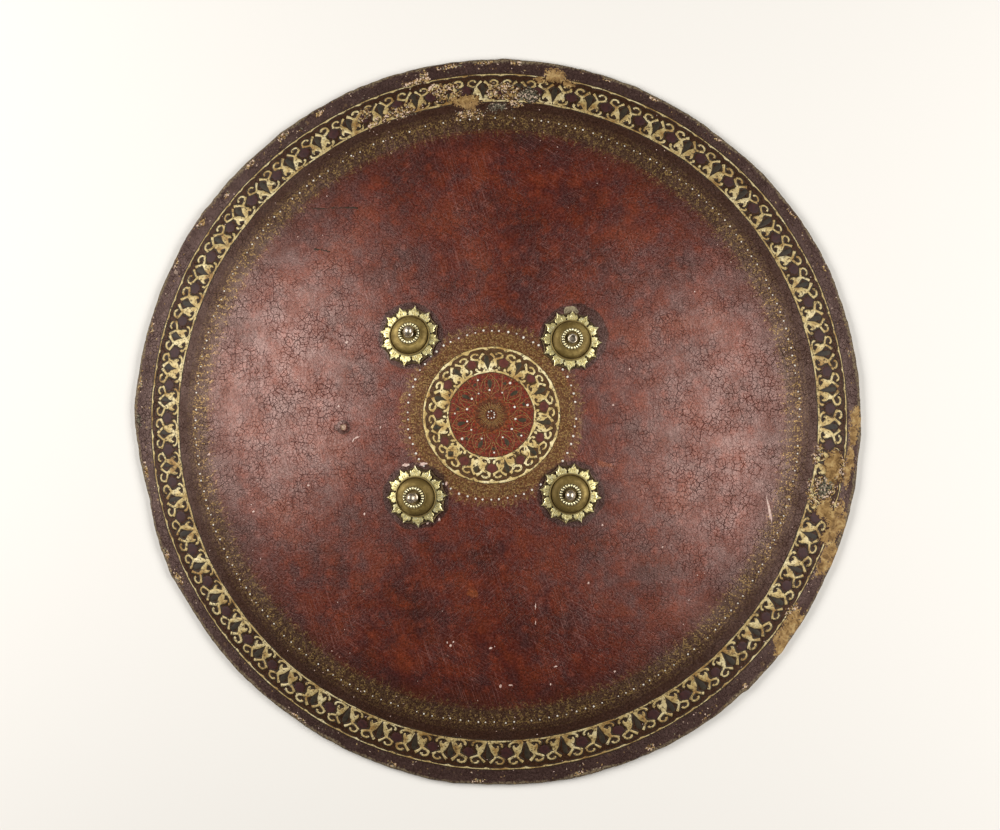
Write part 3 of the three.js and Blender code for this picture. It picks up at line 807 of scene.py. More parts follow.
def hideBody(look):
    # Rows of rings: the face's profile out to the edge, half an ellipse round it, the flat foot and the back,
    # which is the face's profile moved in by the hide's thickness square to it.
    wart = math.hypot(shieldForm["wart"]["x"], shieldForm["wart"]["y"])
    face = np.concatenate([
        np.arange(3, wart - 7, 6), np.arange(wart - 6, wart + 6, 1.2), np.arange(wart + 9, 213, 6),
        np.arange(214, 231, 3), np.arange(231.5, 261.5, 1.5), np.linspace(262, edgeRadius, 8)])
    halfTurn = np.linspace(0, math.pi, look["edgeSteps"] + 1)[1:-1]
    edgeOut = edgeRadius + shieldForm["edgeRound"] * np.sin(halfTurn)
    edgeUp = edgeHeight / 2 * (1 + np.cos(halfTurn))
    footSlope = math.acos(
        (turnHeight + flareRadius * math.cos(turnSlope)) / (flareRadius + shieldForm["hideThickness"]))
    footFace = turnRadius + flareRadius * (math.sin(turnSlope) - math.sin(footSlope))
    back = np.concatenate([np.linspace(footFace, turnRadius, 9), np.linspace(turnRadius - 9, 8, 26)])
    backHeight, backSlope = faceProfile(back)
    nominal = np.concatenate([face, edgeOut, [edgeRadius], back])
    angle = np.arange(look["columns"]) * 360 / look["columns"]
    sine, cosine = np.sin(np.radians(angle)), np.cos(np.radians(angle))
    ringX, ringY = nominal[:, None] * sine, nominal[:, None] * cosine
    bare, grey, flaked = lostShares(ringX, ringY)

    faceRings = facePoint(ringX[:len(face)], ringY[:len(face)],
        -patchEdge["depth"] * np.maximum(bare, grey)[:len(face)])
    thickness = shieldForm["hideThickness"]
    flatOut = np.concatenate([edgeOut, [edgeRadius], back - thickness * np.sin(backSlope)])
    flatUp = np.concatenate([edgeUp, [0.0], backHeight - thickness * np.cos(backSlope)])
    blend = np.concatenate([np.cos(halfTurn / 2) ** 2, np.zeros(len(back) + 1)])
    rim = unevenness(edgeRadius * sine, edgeRadius * cosine)
    rest = np.stack([
        flatOut[:, None] * sine, flatOut[:, None] * cosine,
        flatUp[:, None] + blend[:, None] * rim], axis=-1)
    rings = np.concatenate([faceRings, rest])
    reach = np.hypot(rings[..., 0], rings[..., 1])
    share = smoothStep(reach, shieldForm["rimRadius"] - shieldForm["flareWidth"] / 4, edgeRadius)
    rings[..., :2] *= (1 + share * edgeWander(angle)[None, :] / reach)[..., None]

    rows, columns = rings.shape[:2]
    apex = facePoint(np.zeros(1), np.zeros(1), 0.0)[0]
    poles = np.array([apex, [0, 0, apex[2] - thickness]])
    points = np.concatenate([rings.reshape(-1, 3), poles])
    quads = gridQuads(rows, columns)
    fans = poleFans(rows, columns)
    behind = np.concatenate([np.arange(len(quads)) // columns >= len(face) + look["edgeSteps"] - 3,
                             np.arange(len(fans)) >= columns])
    piece = makePiece("hide_body", points, quads, fans, [lacqueredHide(lacquerLook), plainHide()], behind)

    x, y = points[:, 0], points[:, 1]
    stain = np.zeros(len(points))
    for boss in bosses:
        middle = bossPlace(boss)
        away = np.hypot(x - middle[0] - boss["stain"][0], y - middle[1] - boss["stain"][1])
        stain = np.maximum(stain, 1 - smoothStep(away, look["stainRadius"] - 4, look["stainRadius"] + 4))
    warm = np.zeros(len(points))
    for at, up, wide, high in look["warmStains"]:
        warm = np.maximum(warm, 1 - smoothStep(np.hypot((x - at) / wide, (y - up) / high), 0.3, 1.2))
    fromWart = np.hypot(x - shieldForm["wart"]["x"], y - shieldForm["wart"]["y"])
    addAttribute(piece, "wartRing", np.exp(-((fromWart - 4.0) / 1.4) ** 2))
    addAttribute(piece, "wartTop", 1 - smoothStep(fromWart, 1.4, 2.8))
    closing = np.zeros(2)
    addAttribute(piece, "nominalRadius", np.concatenate([np.repeat(nominal, columns), closing]))
    addAttribute(piece, "bareTan", np.concatenate([bare.ravel(), closing]))
    addAttribute(piece, "greyGround", np.concatenate([grey.ravel(), closing]))
    addAttribute(piece, "flaked", np.concatenate([flaked.ravel(), closing]))
    addAttribute(piece, "bossStain", stain)
    addAttribute(piece, "warmStain", warm)
    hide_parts("hide_shell")
    return piece


hideBody(hideGrid)
print("hide made")


# Gilding and paint that lie on the hide

giltLook = {
    "leaf": "#b39c66",
    "pale": "#d8cba0",
    "amber": "#8c6a36",
    "worn": "#46321a",
    "roughness": 0.52,
    "wearSize": 1.7,
}
medallionGiltLook = dict(giltLook, leaf="#c9b072", pale="#f2e6b8", amber="#a07c42")


def goldLeaf(look):
    # Leaf burnished over a raised ground: pale gold with amber and worn places, soft bright knobs
    material, tree = newMaterial("burnished gold leaf on gesso")
    place = addNode(tree, "TexCoord").outputs["Object"]
    broad = addNode(tree, "TexNoise", None, {"Vector": place, "Scale": 1000 / 9, "Detail": 4.0})
    small = addNode(tree, "TexNoise", None, {
        "Vector": place, "Scale": 1000 / look["wearSize"], "Detail": 5.0, "Roughness": 0.7})
    colour = addNode(tree, "ValToRGB", {"stops": [
        (0.34, look["amber"]), (0.50, look["leaf"]), (0.76, look["pale"])]}, {"Fac": broad})
    wear = addNode(tree, "MapRange", smooth, [small, 0.51, 0.62])
    colour = addNode(tree, "MixRGB", None, [wear, colour, look["worn"]])
    metal = addNode(tree, "MapRange", None, [wear, 0, 1, 0.22, 0.05])
    rough = addNode(tree, "MapRange", None, [small, 0.3, 0.7, look["roughness"] - 0.08,
        look["roughness"] + 0.2])
    bump = addNode(tree, "Bump", None, {"Strength": 0.5, "Distance": 0.12 * mm, "Height": small})
    shader = addNode(tree, "BsdfPrincipled", None, {
        "Base Color": colour, "Metallic": metal, "Roughness": rough, "Normal": bump,
        "Specular IOR Level": 0.4})
    finishMaterial(tree, shader)
    return material


def mattPaint(name, dark, light, size, roughness):
    # Ground pigment in gum: flat colour, a little uneven, under the same thin varnish as the field
    material, tree = newMaterial(name)
    place = addNode(tree, "TexCoord").outputs["Object"]
    cloud = addNode(tree, "TexNoise", None, {
        "Vector": place, "Scale": 1000 / size, "Detail": 4.0, "Roughness": 0.65})
    colour = addNode(tree, "ValToRGB", {"stops": [(0.34, dark), (0.66, light)]}, {"Fac": cloud})
    bump = addNode(tree, "Bump", None, {"Strength": 0.4, "Distance": 0.05 * mm, "Height": cloud})
    shader = addNode(tree, "BsdfPrincipled", None, {
        "Base Color": colour, "Roughness": roughness, "Normal": bump, "Specular IOR Level": 0.3})
    finishMaterial(tree, shader)
    return material


gilt = goldLeaf(giltLook)
medallionGilt = goldLeaf(medallionGiltLook)
outlinePaint = mattPaint("dark brown outline paint", "#221607", "#34230f", 1.6, 0.6)
maroonPaint = mattPaint("maroon lake paint", "#27100f", "#3d1c18", 2.5, 0.6)
slatePaint = mattPaint("dark olive paint", "#1d170e", "#352b1b", 2.5, 0.6)
greenPaint = mattPaint("dark green paint", "#231e12", "#403620", 1.6, 0.55)
umberPaint = mattPaint("umber outline paint", "#33240e", "#4e3a1b", 1.6, 0.6)
brickPaint = mattPaint("brick red lake paint", "#431b14", "#5f2c20", 2.5, 0.6)
silverPaint = mattPaint("silver paint", "#aea696", "#efe8dc", 1.2, 0.4)
dullGold = mattPaint("dull gold paint", "#5a401c", "#ab8a4c", 1.0, 0.55)
wornGround = mattPaint("scraped olive ground", "#5c5238", "#a8977a", 1.2, 0.7)
chalkFlake = mattPaint("bared chalk ground", "#a98478", "#dcc6b8", 1.0, 0.8)


def smoothThrough(control, stations):
    # a Catmull-Rom curve through the control points of each path, at evenly spaced parameters
    control = np.asarray(control, float)
    first = 2 * control[..., :1, :] - control[..., 1:2, :]
    last = 2 * control[..., -1:, :] - control[..., -2:-1, :]
    padded = np.concatenate([first, control, last], axis=-2)
    at = np.linspace(0, control.shape[-2] - 1, stations)
    step = np.minimum(at.astype(int), control.shape[-2] - 2)
    t = (at - step)[:, None]
    a, b, c, d = (padded[..., step + k, :] for k in range(4))
    square = (2 * a - 5 * b + 4 * c - d) * t ** 2
    cube = (3 * b - a - 3 * c + d) * t ** 3
    return 0.5 * (2 * b + (c - a) * t + square + cube)


def sinkWhereLost(x, y, depth):
    # how far a layer drops under the surface, where the ground it lay on is lost
    bare, grey, flaked = lostShares(x, y)
    scraps = smoothStep(latticeNoise(x, y, 2.1, 61) + 0.9 * flaked, 0.62, 0.86)
    gone = np.maximum(smoothStep(np.maximum(bare, grey), 0.35, 0.6), scraps * (flaked > 0.05))
    return depth * gone


strokeShape = {"across": (-1, -0.62, 0, 0.62, 1, 0), "rise": (0, 0.78, 1, 0.78, 0, 0), "sink": 0.12}


def paintedStrokes(paths, widths, rise):
    # A low closed arch carried along each path in the plan: at each station it is as wide as given there,
    # and both ends close on a point. Paths are (copies, stations, 2) and widths (copies, stations).
    copies, stations = widths.shape
    ahead = np.gradient(paths, axis=1)
    ahead /= np.maximum(np.linalg.norm(ahead, axis=-1, keepdims=True), 1e-9)
    across = np.stack([-ahead[..., 1], ahead[..., 0]], axis=-1)
    shape = np.array(strokeShape["across"]) / 2
    plan = paths[:, :, None, :] + across[:, :, None, :] * (widths[:, :, None] * shape)[..., None]
    lift = np.array(strokeShape["rise"]) * rise - strokeShape["sink"] * (np.array(strokeShape["rise"]) == 0)
    lift = np.broadcast_to(lift, plan.shape[:-1]) * 1.0
    lift = np.where(lift > 0, lift * np.clip(widths / 1.4, 0.35, 1.0)[:, :, None], lift)
    sides = len(shape)
    ends = np.stack([paths[:, 0], paths[:, -1]], axis=1)
    plan = np.concatenate([plan.reshape(copies, -1, 2), ends], axis=1)
    lift = np.concatenate([lift.reshape(copies, -1), np.full((copies, 2), -strokeShape["sink"] / 2)], axis=1)
    lift = lift - sinkWhereLost(plan[..., 0], plan[..., 1], 1.2)
    points = facePoint(plan[..., 0], plan[..., 1], lift)
    stride = stations * sides + 2
    quads = repeated(gridQuads(stations, sides), copies, stride)
    fans = repeated(poleFans(stations, sides), copies, stride)
    return points.reshape(-1, 3), quads, fans


def paintedPatches(x, y, turn, outlineX, outlineY, rise):
    # A flat patch for each place: rings that shrink from its outline to its middle, closed below.
    # Outlines are (copies, corners), in a frame turned by turn degrees clockwise.
    copies, corners = outlineX.shape
    shares = np.array([1.0, 0.86, 0.45])
    lifts = np.array([-0.1, 0.85, 1.0])
    sine, cosine = np.sin(np.radians(turn))[:, None], np.cos(np.radians(turn))[:, None]
    spunX = outlineX * cosine + outlineY * sine
    spunY = -outlineX * sine + outlineY * cosine
    ringX = x[:, None, None] + shares[None, :, None] * spunX[:, None, :]
    ringY = y[:, None, None] + shares[None, :, None] * spunY[:, None, :]
    lift = np.broadcast_to(np.where(lifts > 0, lifts * rise, lifts)[None, :, None], ringX.shape)
    allX = np.concatenate([ringX.reshape(copies, -1), x[:, None], x[:, None]], axis=1)
    allY = np.concatenate([ringY.reshape(copies, -1), y[:, None], y[:, None]], axis=1)
    middles = np.tile([-0.1, rise], (copies, 1))
    flat = np.concatenate([lift.reshape(copies, -1), middles], axis=1)
    flat = flat - sinkWhereLost(allX, allY, 1.2)
    stride = corners * len(shares) + 2
    quads = repeated(gridQuads(len(shares), corners), copies, stride)
    fans = repeated(poleFans(len(shares), corners), copies, stride)
    return facePoint(allX, allY, flat).reshape(-1, 3), quads, fans


def gathered(parts):
    # several meshes as one set of arrays
    offset, points, quads, fans = 0, [], [], []
    for partPoints, partQuads, partFans in parts:
        points.append(partPoints)
        quads.append(partQuads + offset)
        fans.append(partFans + offset)
        offset += len(partPoints)
    return np.concatenate(points), np.concatenate(quads), np.concatenate(fans)


def ringLine(radius, width, rise, stations, wobble, seed, cusps=0, cuspDepth=0.0, band=None):
    # A low arch carried round a circle, wavering as a hand-drawn line does.
    # Pointed cusps hang from its inner side, over the figures of its band.
    angle = np.arange(stations) * 360 / stations
    sine, cosine = np.sin(np.radians(angle)), np.cos(np.radians(angle))
    waver = wobble * latticeNoise(radius * sine, radius * cosine, 16, seed)
    wide = width * (1 + 0.42 * latticeNoise(radius * sine, radius * cosine, 5, seed + 1))
    peak = np.zeros_like(angle)
    if cusps:
        peak = (0.5 + 0.5 * np.cos(np.radians((angle - band["phase"] - bandDrift(band, angle)) * cusps))) ** 7
    outer = radius + waver + wide / 2
    inner = radius + waver - wide / 2 - cuspDepth * peak
    share = 0.5 - 0.5 * np.array(strokeShape["across"])
    out = outer[:, None] + (inner - outer)[:, None] * share
    lift = np.array(strokeShape["rise"]) * rise - strokeShape["sink"] * (np.array(strokeShape["rise"]) == 0)
    x, y = out * sine[:, None], out * cosine[:, None]
    lift = lift[None, :] - sinkWhereLost(x, y, 1.2)
    points = facePoint(x, y, lift).reshape(-1, 3)
    return points, gridQuads(stations, len(share), True), np.zeros((0, 3), int)


def bandDrift(band, angle):
    # how far the hand-spaced figures have crept round from even spacing
    at, creep = np.array(band["drift"]).T
    return np.interp(angle, at, creep, period=360)


# One figure of the scrollwork, to the right of its flower: places across and up from the middle of the band
scrollFigure = (
    {"path": ((12.9, -9.7), (11.4, -6.8), (9.3, -3.6), (8.0, -0.9), (7.5, 1.7)),
        "width": (1.8, 2.7, 4.9, 3.6, 1.8)},
    {"path": ((9.4, -2.2), (7.3, -3.8), (6.0, -5.8), (6.3, -7.3)), "width": (2.8, 3.4, 1.9, 0.6)},
    {"path": ((7.6, 0.9), (9.0, 2.6), (10.6, 4.3), (12.0, 5.5)), "width": (1.9, 1.5, 1.9, 2.3)},
    {"path": ((7.6, 0.6), (5.2, 1.3), (3.0, 2.3), (2.0, 3.9), (2.7, 5.6), (4.9, 6.4), (6.9, 5.8), (7.2, 4.5)),
     "width": (1.9, 1.5, 1.7, 1.6, 1.5, 1.4, 1.5, 1.9)},
    {"path": ((3.0, 2.4), (1.7, 2.8), (0.7, 3.2)), "width": (1.8, 1.4, 0.3)},
    {"path": ((10.4, -9.6), (6.6, -9.7), (4.2, -8.9), (2.7, -7.4), (3.3, -6.2)),
        "width": (1.2, 1.5, 1.4, 1.8, 2.0)},
    {"path": ((13.4, -9.9), (11.0, -9.0), (8.6, -10.0)), "width": (1.2, 2.6, 1.0)},
)

rimBand = {
    "pairs": 58,
    "middle": 247.95,
    "height": 20.6,
    "outerLine": {"radius": 258.3, "width": 0.95},
    "innerLine": {"radius": 237.6, "width": 1.55},
    "phase": 28.24,  # a teardrop's angle
    "drift": (
        (0, 0.4), (30, 0.5), (60, 0.95), (75, 0.8), (120, 1.7), (150, 2.8), (180, 4.5), (210, 5.1),
        (240, 4.65),
              (255, 4.4), (285, 1.75), (330, 1.0)),
    "rise": 0.32,
    "weight": 1.18,
    "cusps": 0.9,
    "outline": 3.0,
    "leaf": gilt,
    "paints": (outlinePaint, maroonPaint, slatePaint),
    "seed": 71,
}

medallionBand = {
    "pairs": 11,
    "middle": 39.9,
    "height": 17.25,
    "outerLine": {"radius": 48.6, "width": 1.85},
    "innerLine": {"radius": 31.35, "width": 1.5},
    "phase": -2.0,
    "drift": ((0, -2), (60, 1.2), (120, 2.6), (180, 1.6), (215, 0), (270, -4.8), (330, -4)),
    "rise": 0.28,
    "weight": 1.45,
    "cusps": 1.8,
    "outline": 1.7,
    "leaf": medallionGilt,
    "paints": (umberPaint, brickPaint, greenPaint),
    "seed": 81,
}


def onBand(band, pairAngle, along, up, scale):
    # a place in the figure's frame, onto the band of one pair: along goes round it and up goes outwards
    radius = band["middle"] + up * scale
    angle = np.radians(pairAngle) + along * scale / band["middle"]
    return np.stack([radius * np.sin(angle), radius * np.cos(angle)], axis=-1)


def scrollwork(name, band):
    # every figure of the band, one on each side of every flower, each a little different in size and lean
    rng = np.random.default_rng(band["seed"])
    pairs = band["pairs"]
    scale = band["height"] / rimBand["height"]
    pitch = 360 / pairs
    natural = math.radians(pitch) * band["middle"] / scale
    stretch = natural / (math.radians(360 / rimBand["pairs"]) * rimBand["middle"])
    flowers = band["phase"] + pitch / 2 + np.arange(pairs) * pitch
    flowers = flowers + bandDrift(band, flowers)
    centre = np.repeat(flowers, 2)[:, None]
    side = np.tile([1.0, -1.0], pairs)[:, None]
    shift = rng.uniform(-0.35, 0.35, (2 * pairs, 2))
    size = rng.uniform(0.94, 1.05, 2 * pairs)[:, None]
    lean = rng.uniform(-0.05, 0.05, 2 * pairs)[:, None]
    heavy = rng.uniform(0.88, 1.2, 2 * pairs)[:, None]
    parts, outlines = [], []
    for stroke in scrollFigure:
        path = smoothThrough(stroke["path"], 11)
        width = np.interp(np.linspace(0, 1, 11), np.linspace(0, 1, len(stroke["width"])), stroke["width"])
        along = side * (path[None, :, 0] * stretch * size + shift[:, :1] + lean * path[None, :, 1])
        up = np.clip(path[None, :, 1] * size + shift[:, 1:], -10.1, 8.9)
        paths = onBand(band, centre, along, up, scale)
        wide = width[None, :] * heavy * scale * band["weight"]
        parts.append(paintedStrokes(paths, wide, band["rise"]))
        outlines.append(paintedStrokes(paths[:, ::2], wide[:, ::2] + band["outline"], 0.13))
    for line, cusps, depth in ((band["outerLine"], 2 * pairs, band["cusps"]), (band["innerLine"], 0, 0.0)):
        for into, width, rise, stations in (
                (parts, line["width"], band["rise"], max(720, pairs * 26)),
                (outlines, line["width"] + band["outline"] * 0.6, 0.1, max(720, pairs * 13))):
            into.append(ringLine(
                line["radius"], width, rise, stations, 0.22, band["seed"] + 3, cusps, depth, band))
    piece = makePiece(name, *gathered(parts), [band["leaf"]])
    piece = makePiece(name + "_outline", *gathered(outlines), [band["paints"][0]])
    return flowers, scale, stretch


def bandPaint(name, band, flowers, scale, stretch):
    # the lobed flowers in the wide gaps and the teardrops in the narrow ones
    rng = np.random.default_rng(band["seed"] + 5)
    corner = np.arange(28) * 360 / 28
    count = len(flowers)
    lobes = 4.0 + 0.75 * np.cos(np.radians(5 * corner)) ** 2 + 0.5 * np.cos(np.radians(corner))
    lobes = lobes[None, :] * rng.uniform(0.9, 1.08, (count, 1)) * (1 + 0.06 * rng.uniform(-1, 1, (count, 28)))
    flowerX, flowerY = lobes * np.sin(np.radians(corner)) * stretch, lobes * np.cos(np.radians(corner))
    place = onBand(band, flowers, rng.uniform(-0.3, 0.3, count), -1.8 + rng.uniform(-0.3, 0.3, count), scale)
    petals = paintedPatches(place[:, 0], place[:, 1], flowers, flowerX * scale, flowerY * scale, 0.07)
    piece = makePiece(name + "_flowers", *petals, [band["paints"][1]])
    drops = flowers + 180 / count
    narrow = 3.0 * np.sin(np.radians(corner)) * (0.66 + 0.34 * np.cos(np.radians(corner)))
    tall = 5.6 * np.cos(np.radians(corner)) - 0.9 * (1 - np.cos(np.radians(corner)))
    dropX = narrow[None, :] * stretch * rng.uniform(0.9, 1.12, (count, 1))
    dropY = tall[None, :] * rng.uniform(0.94, 1.05, (count, 1))
    place = onBand(band, drops, rng.uniform(-0.25, 0.25, count), np.full(count, -1.2), scale)
    patches = paintedPatches(place[:, 0], place[:, 1], drops, dropX * scale, dropY * scale, 0.07)
    piece = makePiece(name + "_teardrops", *patches, [band["paints"][2]])


for bandName, band in (("rim_scrollwork", rimBand), ("medallion_scrollwork", medallionBand)):
    flowers, scale, stretch = scrollwork(bandName, band)
    bandPaint(bandName, band, flowers, scale, stretch)
print("scrollwork made")

dotRings = (
    {"radius": 223.2, "count": 212, "size": 0.6, "kept": 0.84, "seed": 91},
    {"radius": 60.9, "count": 62, "size": 0.8, "kept": 0.97, "seed": 92},
    {"radius": 26.7, "count": 7, "size": 0.88, "kept": 1.0, "seed": 93, "phase": 22.5},
    {"radius": 18.0, "count": 14, "size": 0.78, "kept": 0.95, "seed": 94, "phase": -2},
    {"radius": 2.6, "count": 8, "size": 0.54, "kept": 1.0, "seed": 95},
)


def silverDots(rings):
    # low round beads of paint, each a patch with a round outline, some small and some lost
    parts = []
    for ring in rings:
        rng = np.random.default_rng(ring["seed"])
        count = ring["count"]
        jitter = rng.uniform(-0.16, 0.16, count)
        angle = ring.get("phase", 0) + (np.arange(count) + jitter) * 360 / count
        out = ring["radius"] + rng.uniform(-0.5, 0.5, count)
        size = ring["size"] * rng.uniform(0.78, 1.2, count)
        kept = rng.uniform(0, 1, count) <= ring["kept"]
        angle, out, size = angle[kept], out[kept], size[kept]
        corner = np.radians(np.arange(8) * 45)
        outline = size[:, None] * (1 + 0.1 * rng.uniform(-1, 1, (len(size), 8)))
        parts.append(paintedPatches(
            out * np.sin(np.radians(angle)), out * np.cos(np.radians(angle)), angle,
            outline * np.sin(corner), outline * np.cos(corner), 0.24))
    piece = makePiece("silver_dots", *gathered(parts), [silverPaint])


silverDots(dotRings)

medallionPaint = {
    "leaves": 7,
    "leafRadius": 22.4,
    "leafLength": 3.4,
    "leafWidth": 1.9,
    "leafPhase": -4.5,
    "floretRadius": 24.6,
    "floretSize": 1.7,
    "rosetteStrokes": 46,
    "rosetteInner": 4.2,
    "rosetteOuter": 10.6,
    "petalReach": (13.2, 29.4),
}


def medallionFigures(look):
    # seven leaves on fine stems, pointed petals drawn round them, and a rosette of radial strokes
    rng = np.random.default_rng(101)
    count = look["leaves"]
    step = 360 / count
    corner = np.arange(20) * 360 / 20
    across = look["leafWidth"] * np.sin(np.radians(corner)) * (0.8 + 0.2 * np.cos(np.radians(corner)))
    along = look["leafLength"] * np.cos(np.radians(corner))
    at = look["leafPhase"] + np.arange(count) * step + rng.uniform(-2, 2, count)
    leanLeaf = rng.uniform(-14, 14, count)
    x, y = look["leafRadius"] * np.sin(np.radians(at)), look["leafRadius"] * np.cos(np.radians(at))
    leaves = paintedPatches(
        x, y, at + leanLeaf, np.tile(across, (count, 1)), np.tile(along, (count, 1)), 0.07)
    between = at + step / 2
    x = look["floretRadius"] * np.sin(np.radians(between))
    y = look["floretRadius"] * np.cos(np.radians(between))
    lobes = look["floretSize"] * (0.8 + 0.25 * np.cos(np.radians(6 * corner)))
    lobesX = np.tile(lobes * np.sin(np.radians(corner)), (count, 1))
    lobesY = np.tile(lobes * np.cos(np.radians(corner)), (count, 1))
    florets = paintedPatches(x, y, between, lobesX, lobesY, 0.07)
    piece = makePiece("medallion_leaves", *gathered([leaves, florets]), [greenPaint])

    inner, outer = look["petalReach"]
    petalUp = np.array([inner, inner + 2.5, 19.0, 24.5, outer])
    petalAcross = np.array([0.5, 2.6, 6.6, 5.4, 0.3])
    curlUp = np.array([15.0, 18.0, 21.5, 24.5, 26.0, 24.8])
    curlAcross = np.array([0.4, 1.6, 3.4, 3.6, 2.2, 1.2])
    parts = []
    for shapeUp, shapeAcross, width in ((petalUp, petalAcross, 0.4), (curlUp, curlAcross, 0.36)):
        for side in (-1.0, 1.0):
            angle = np.radians(at)[:, None] + side * shapeAcross / shapeUp
            control = np.stack([shapeUp * np.sin(angle), shapeUp * np.cos(angle)], axis=-1)
            path = smoothThrough(control, 16)
            parts.append(paintedStrokes(path, np.full((count, 16), width), 0.1))
    for side in (-1.0, 1.0):
        shapeUp = np.array([30.2, 27.5, 24.0, 21.0, 19.2])
        angle = np.radians(between)[:, None] + side * np.array([3.4, 3.2, 1.6, 0.9, 0.2]) / shapeUp
        control = np.stack([shapeUp * np.sin(angle), shapeUp * np.cos(angle)], axis=-1)
        parts.append(paintedStrokes(smoothThrough(control, 12), np.full((count, 12), 0.4), 0.1))
    spokes = look["rosetteStrokes"]
    angle = np.radians(np.arange(spokes) * 360 / spokes + rng.uniform(-2, 2, spokes))[:, None]
    reach = rng.uniform(0.6, 1.08, (spokes, 1))
    out = look["rosetteInner"] + np.linspace(0, 1, 6) * (look["rosetteOuter"] - look["rosetteInner"]) * reach
    path = np.stack([out * np.sin(angle), out * np.cos(angle)], axis=-1)
    width = np.tile([0.26, 0.34, 0.4, 0.36, 0.32, 0.24], (spokes, 1))
    parts.append(paintedStrokes(path, width, 0.1))
    piece = makePiece("medallion_drawing", *gathered(parts), [dullGold])


medallionFigures(medallionPaint)

# Pale flecks where the ground shows through: x, y, half length, half width, turn
fleckMarks = (
    (-106.4, 54.0, 1.1, 0.8, 20), (-111.9, 7.4, 0.9, 0.7, 0), (-80.7, -8.2, 0.9, 0.6, 30),
    (-134.7, -49.8, 0.8, 0.7, 0),
    (-177.2, -68.5, 1.0, 0.7, 60), (-93.0, -71.0, 1.1, 0.6, 10), (-212.3, -26.2, 1.3, 0.8, 80),
    (99.2, 33.5, 0.8, 0.6, 0), (87.6, 7.4, 0.8, 0.7, 0), (122.7, -94.9, 1.0, 0.6, 45),
    (79.5, -79.0, 0.9, 0.6, 0),
    (-2.3, -168.3, 1.6, 0.9, 80), (4.3, -196.4, 1.3, 0.9, 0), (11.7, -195.6, 1.6, 0.8, 90),
    (40.9, -194.9, 0.9, 0.7, 0),
    (69.2, -120.9, 0.9, 0.6, 30), (30.8, -137.6, 2.4, 0.5, 4), (30.6, -150.0, 1.6, 0.45, 8),
    (-31.5, -166.2, 1.2, 0.8, 0), (-29.3, -163.6, 0.8, 0.6, 0), (-33.9, -164.2, 0.7, 0.5, 0),
    (44.7, -181.6, 1.3, 0.6, 70), (87.6, -185.4, 0.9, 0.7, 0), (-62.4, -35.8, 2.6, 1.1, 88),
    (-49.3, -35.1, 3.2, 1.3, 84),
    (-32.7, -49.5, 1.5, 1.0, 20), (-38.0, -74.7, 1.6, 0.8, 14), (-46.7, -77.6, 1.3, 0.9, 60),
    (-108.2, -7.9, 0.9, 0.7, 0), (200.6, -67.2, 9.6, 0.9, -11), (-98.2, -15.6, 2.0, 0.5, 70),
    (-100.8, -17.6, 1.6, 0.5, 20),
)

looseFlecks = {"count": 230, "seed": 111}


def paleFlecks(marks, look):
    # flat chips with uneven outlines: the ones that stand out, and many tiny ones strewn near the rim
    rng = np.random.default_rng(look["seed"])
    marks = np.array(marks, float)
    count = look["count"]
    out = 268 - np.abs(rng.normal(0, 42, count)) - rng.uniform(0, 6, count)
    at = rng.uniform(0, 2 * math.pi, count)
    small = np.stack([
        out * np.sin(at), out * np.cos(at), rng.uniform(0.2, 0.6, count), rng.uniform(0.15, 0.45, count),
        rng.uniform(0, 180, count)], axis=-1)
    marks = np.concatenate([marks, small])
    corner = np.radians(np.arange(14) * 360 / 14)
    ragged = 1 + 0.42 * rng.uniform(-1, 1, (len(marks), 14))
    chips = paintedPatches(
        marks[:, 0], marks[:, 1], marks[:, 4], ragged * marks[:, 3:4] * np.sin(corner),
        ragged * marks[:, 2:3] * np.cos(corner), 0.05)
    makePiece("pale_flecks", *chips, [chalkFlake])


paleFlecks(fleckMarks, looseFlecks)

# Two old cracks in the lacquer, at the upper left: places along each, and its width
lacquerCracks = {
    "paths": (((-136.5, 156.2), (-128, 155), (-118, 155.3), (-108.9, 155), (-100.5, 154.7)),
              ((-132.8, 124.4), (-130, 124), (-126.7, 123.4), (-123.5, 122.6), (-120.5, 121.7))),
    "widths": (2.0, 2.3),
    "seed": 115,
}


def longCracks(look):
    # dark seams that break up: a stroke along each path, whose width swells and pinches at random
    rng = np.random.default_rng(look["seed"])
    paths = smoothThrough(look["paths"], 33)
    paths = paths + rng.uniform(-0.3, 0.3, paths.shape)
    widths = np.array(look["widths"])[:, None] * rng.uniform(0.1, 1.0, paths.shape[:2])
    piece = makePiece("lacquer_cracks", *paintedStrokes(paths, widths, 0.15), [outlinePaint])


longCracks(lacquerCracks)

# The scraped print of an earlier leaf, above the top right boss
leafMark = {"distance": 21.8, "halfWidth": 5.5, "halfHeight": 3.8, "lobes": 5, "strokes": 11, "spread": 13}


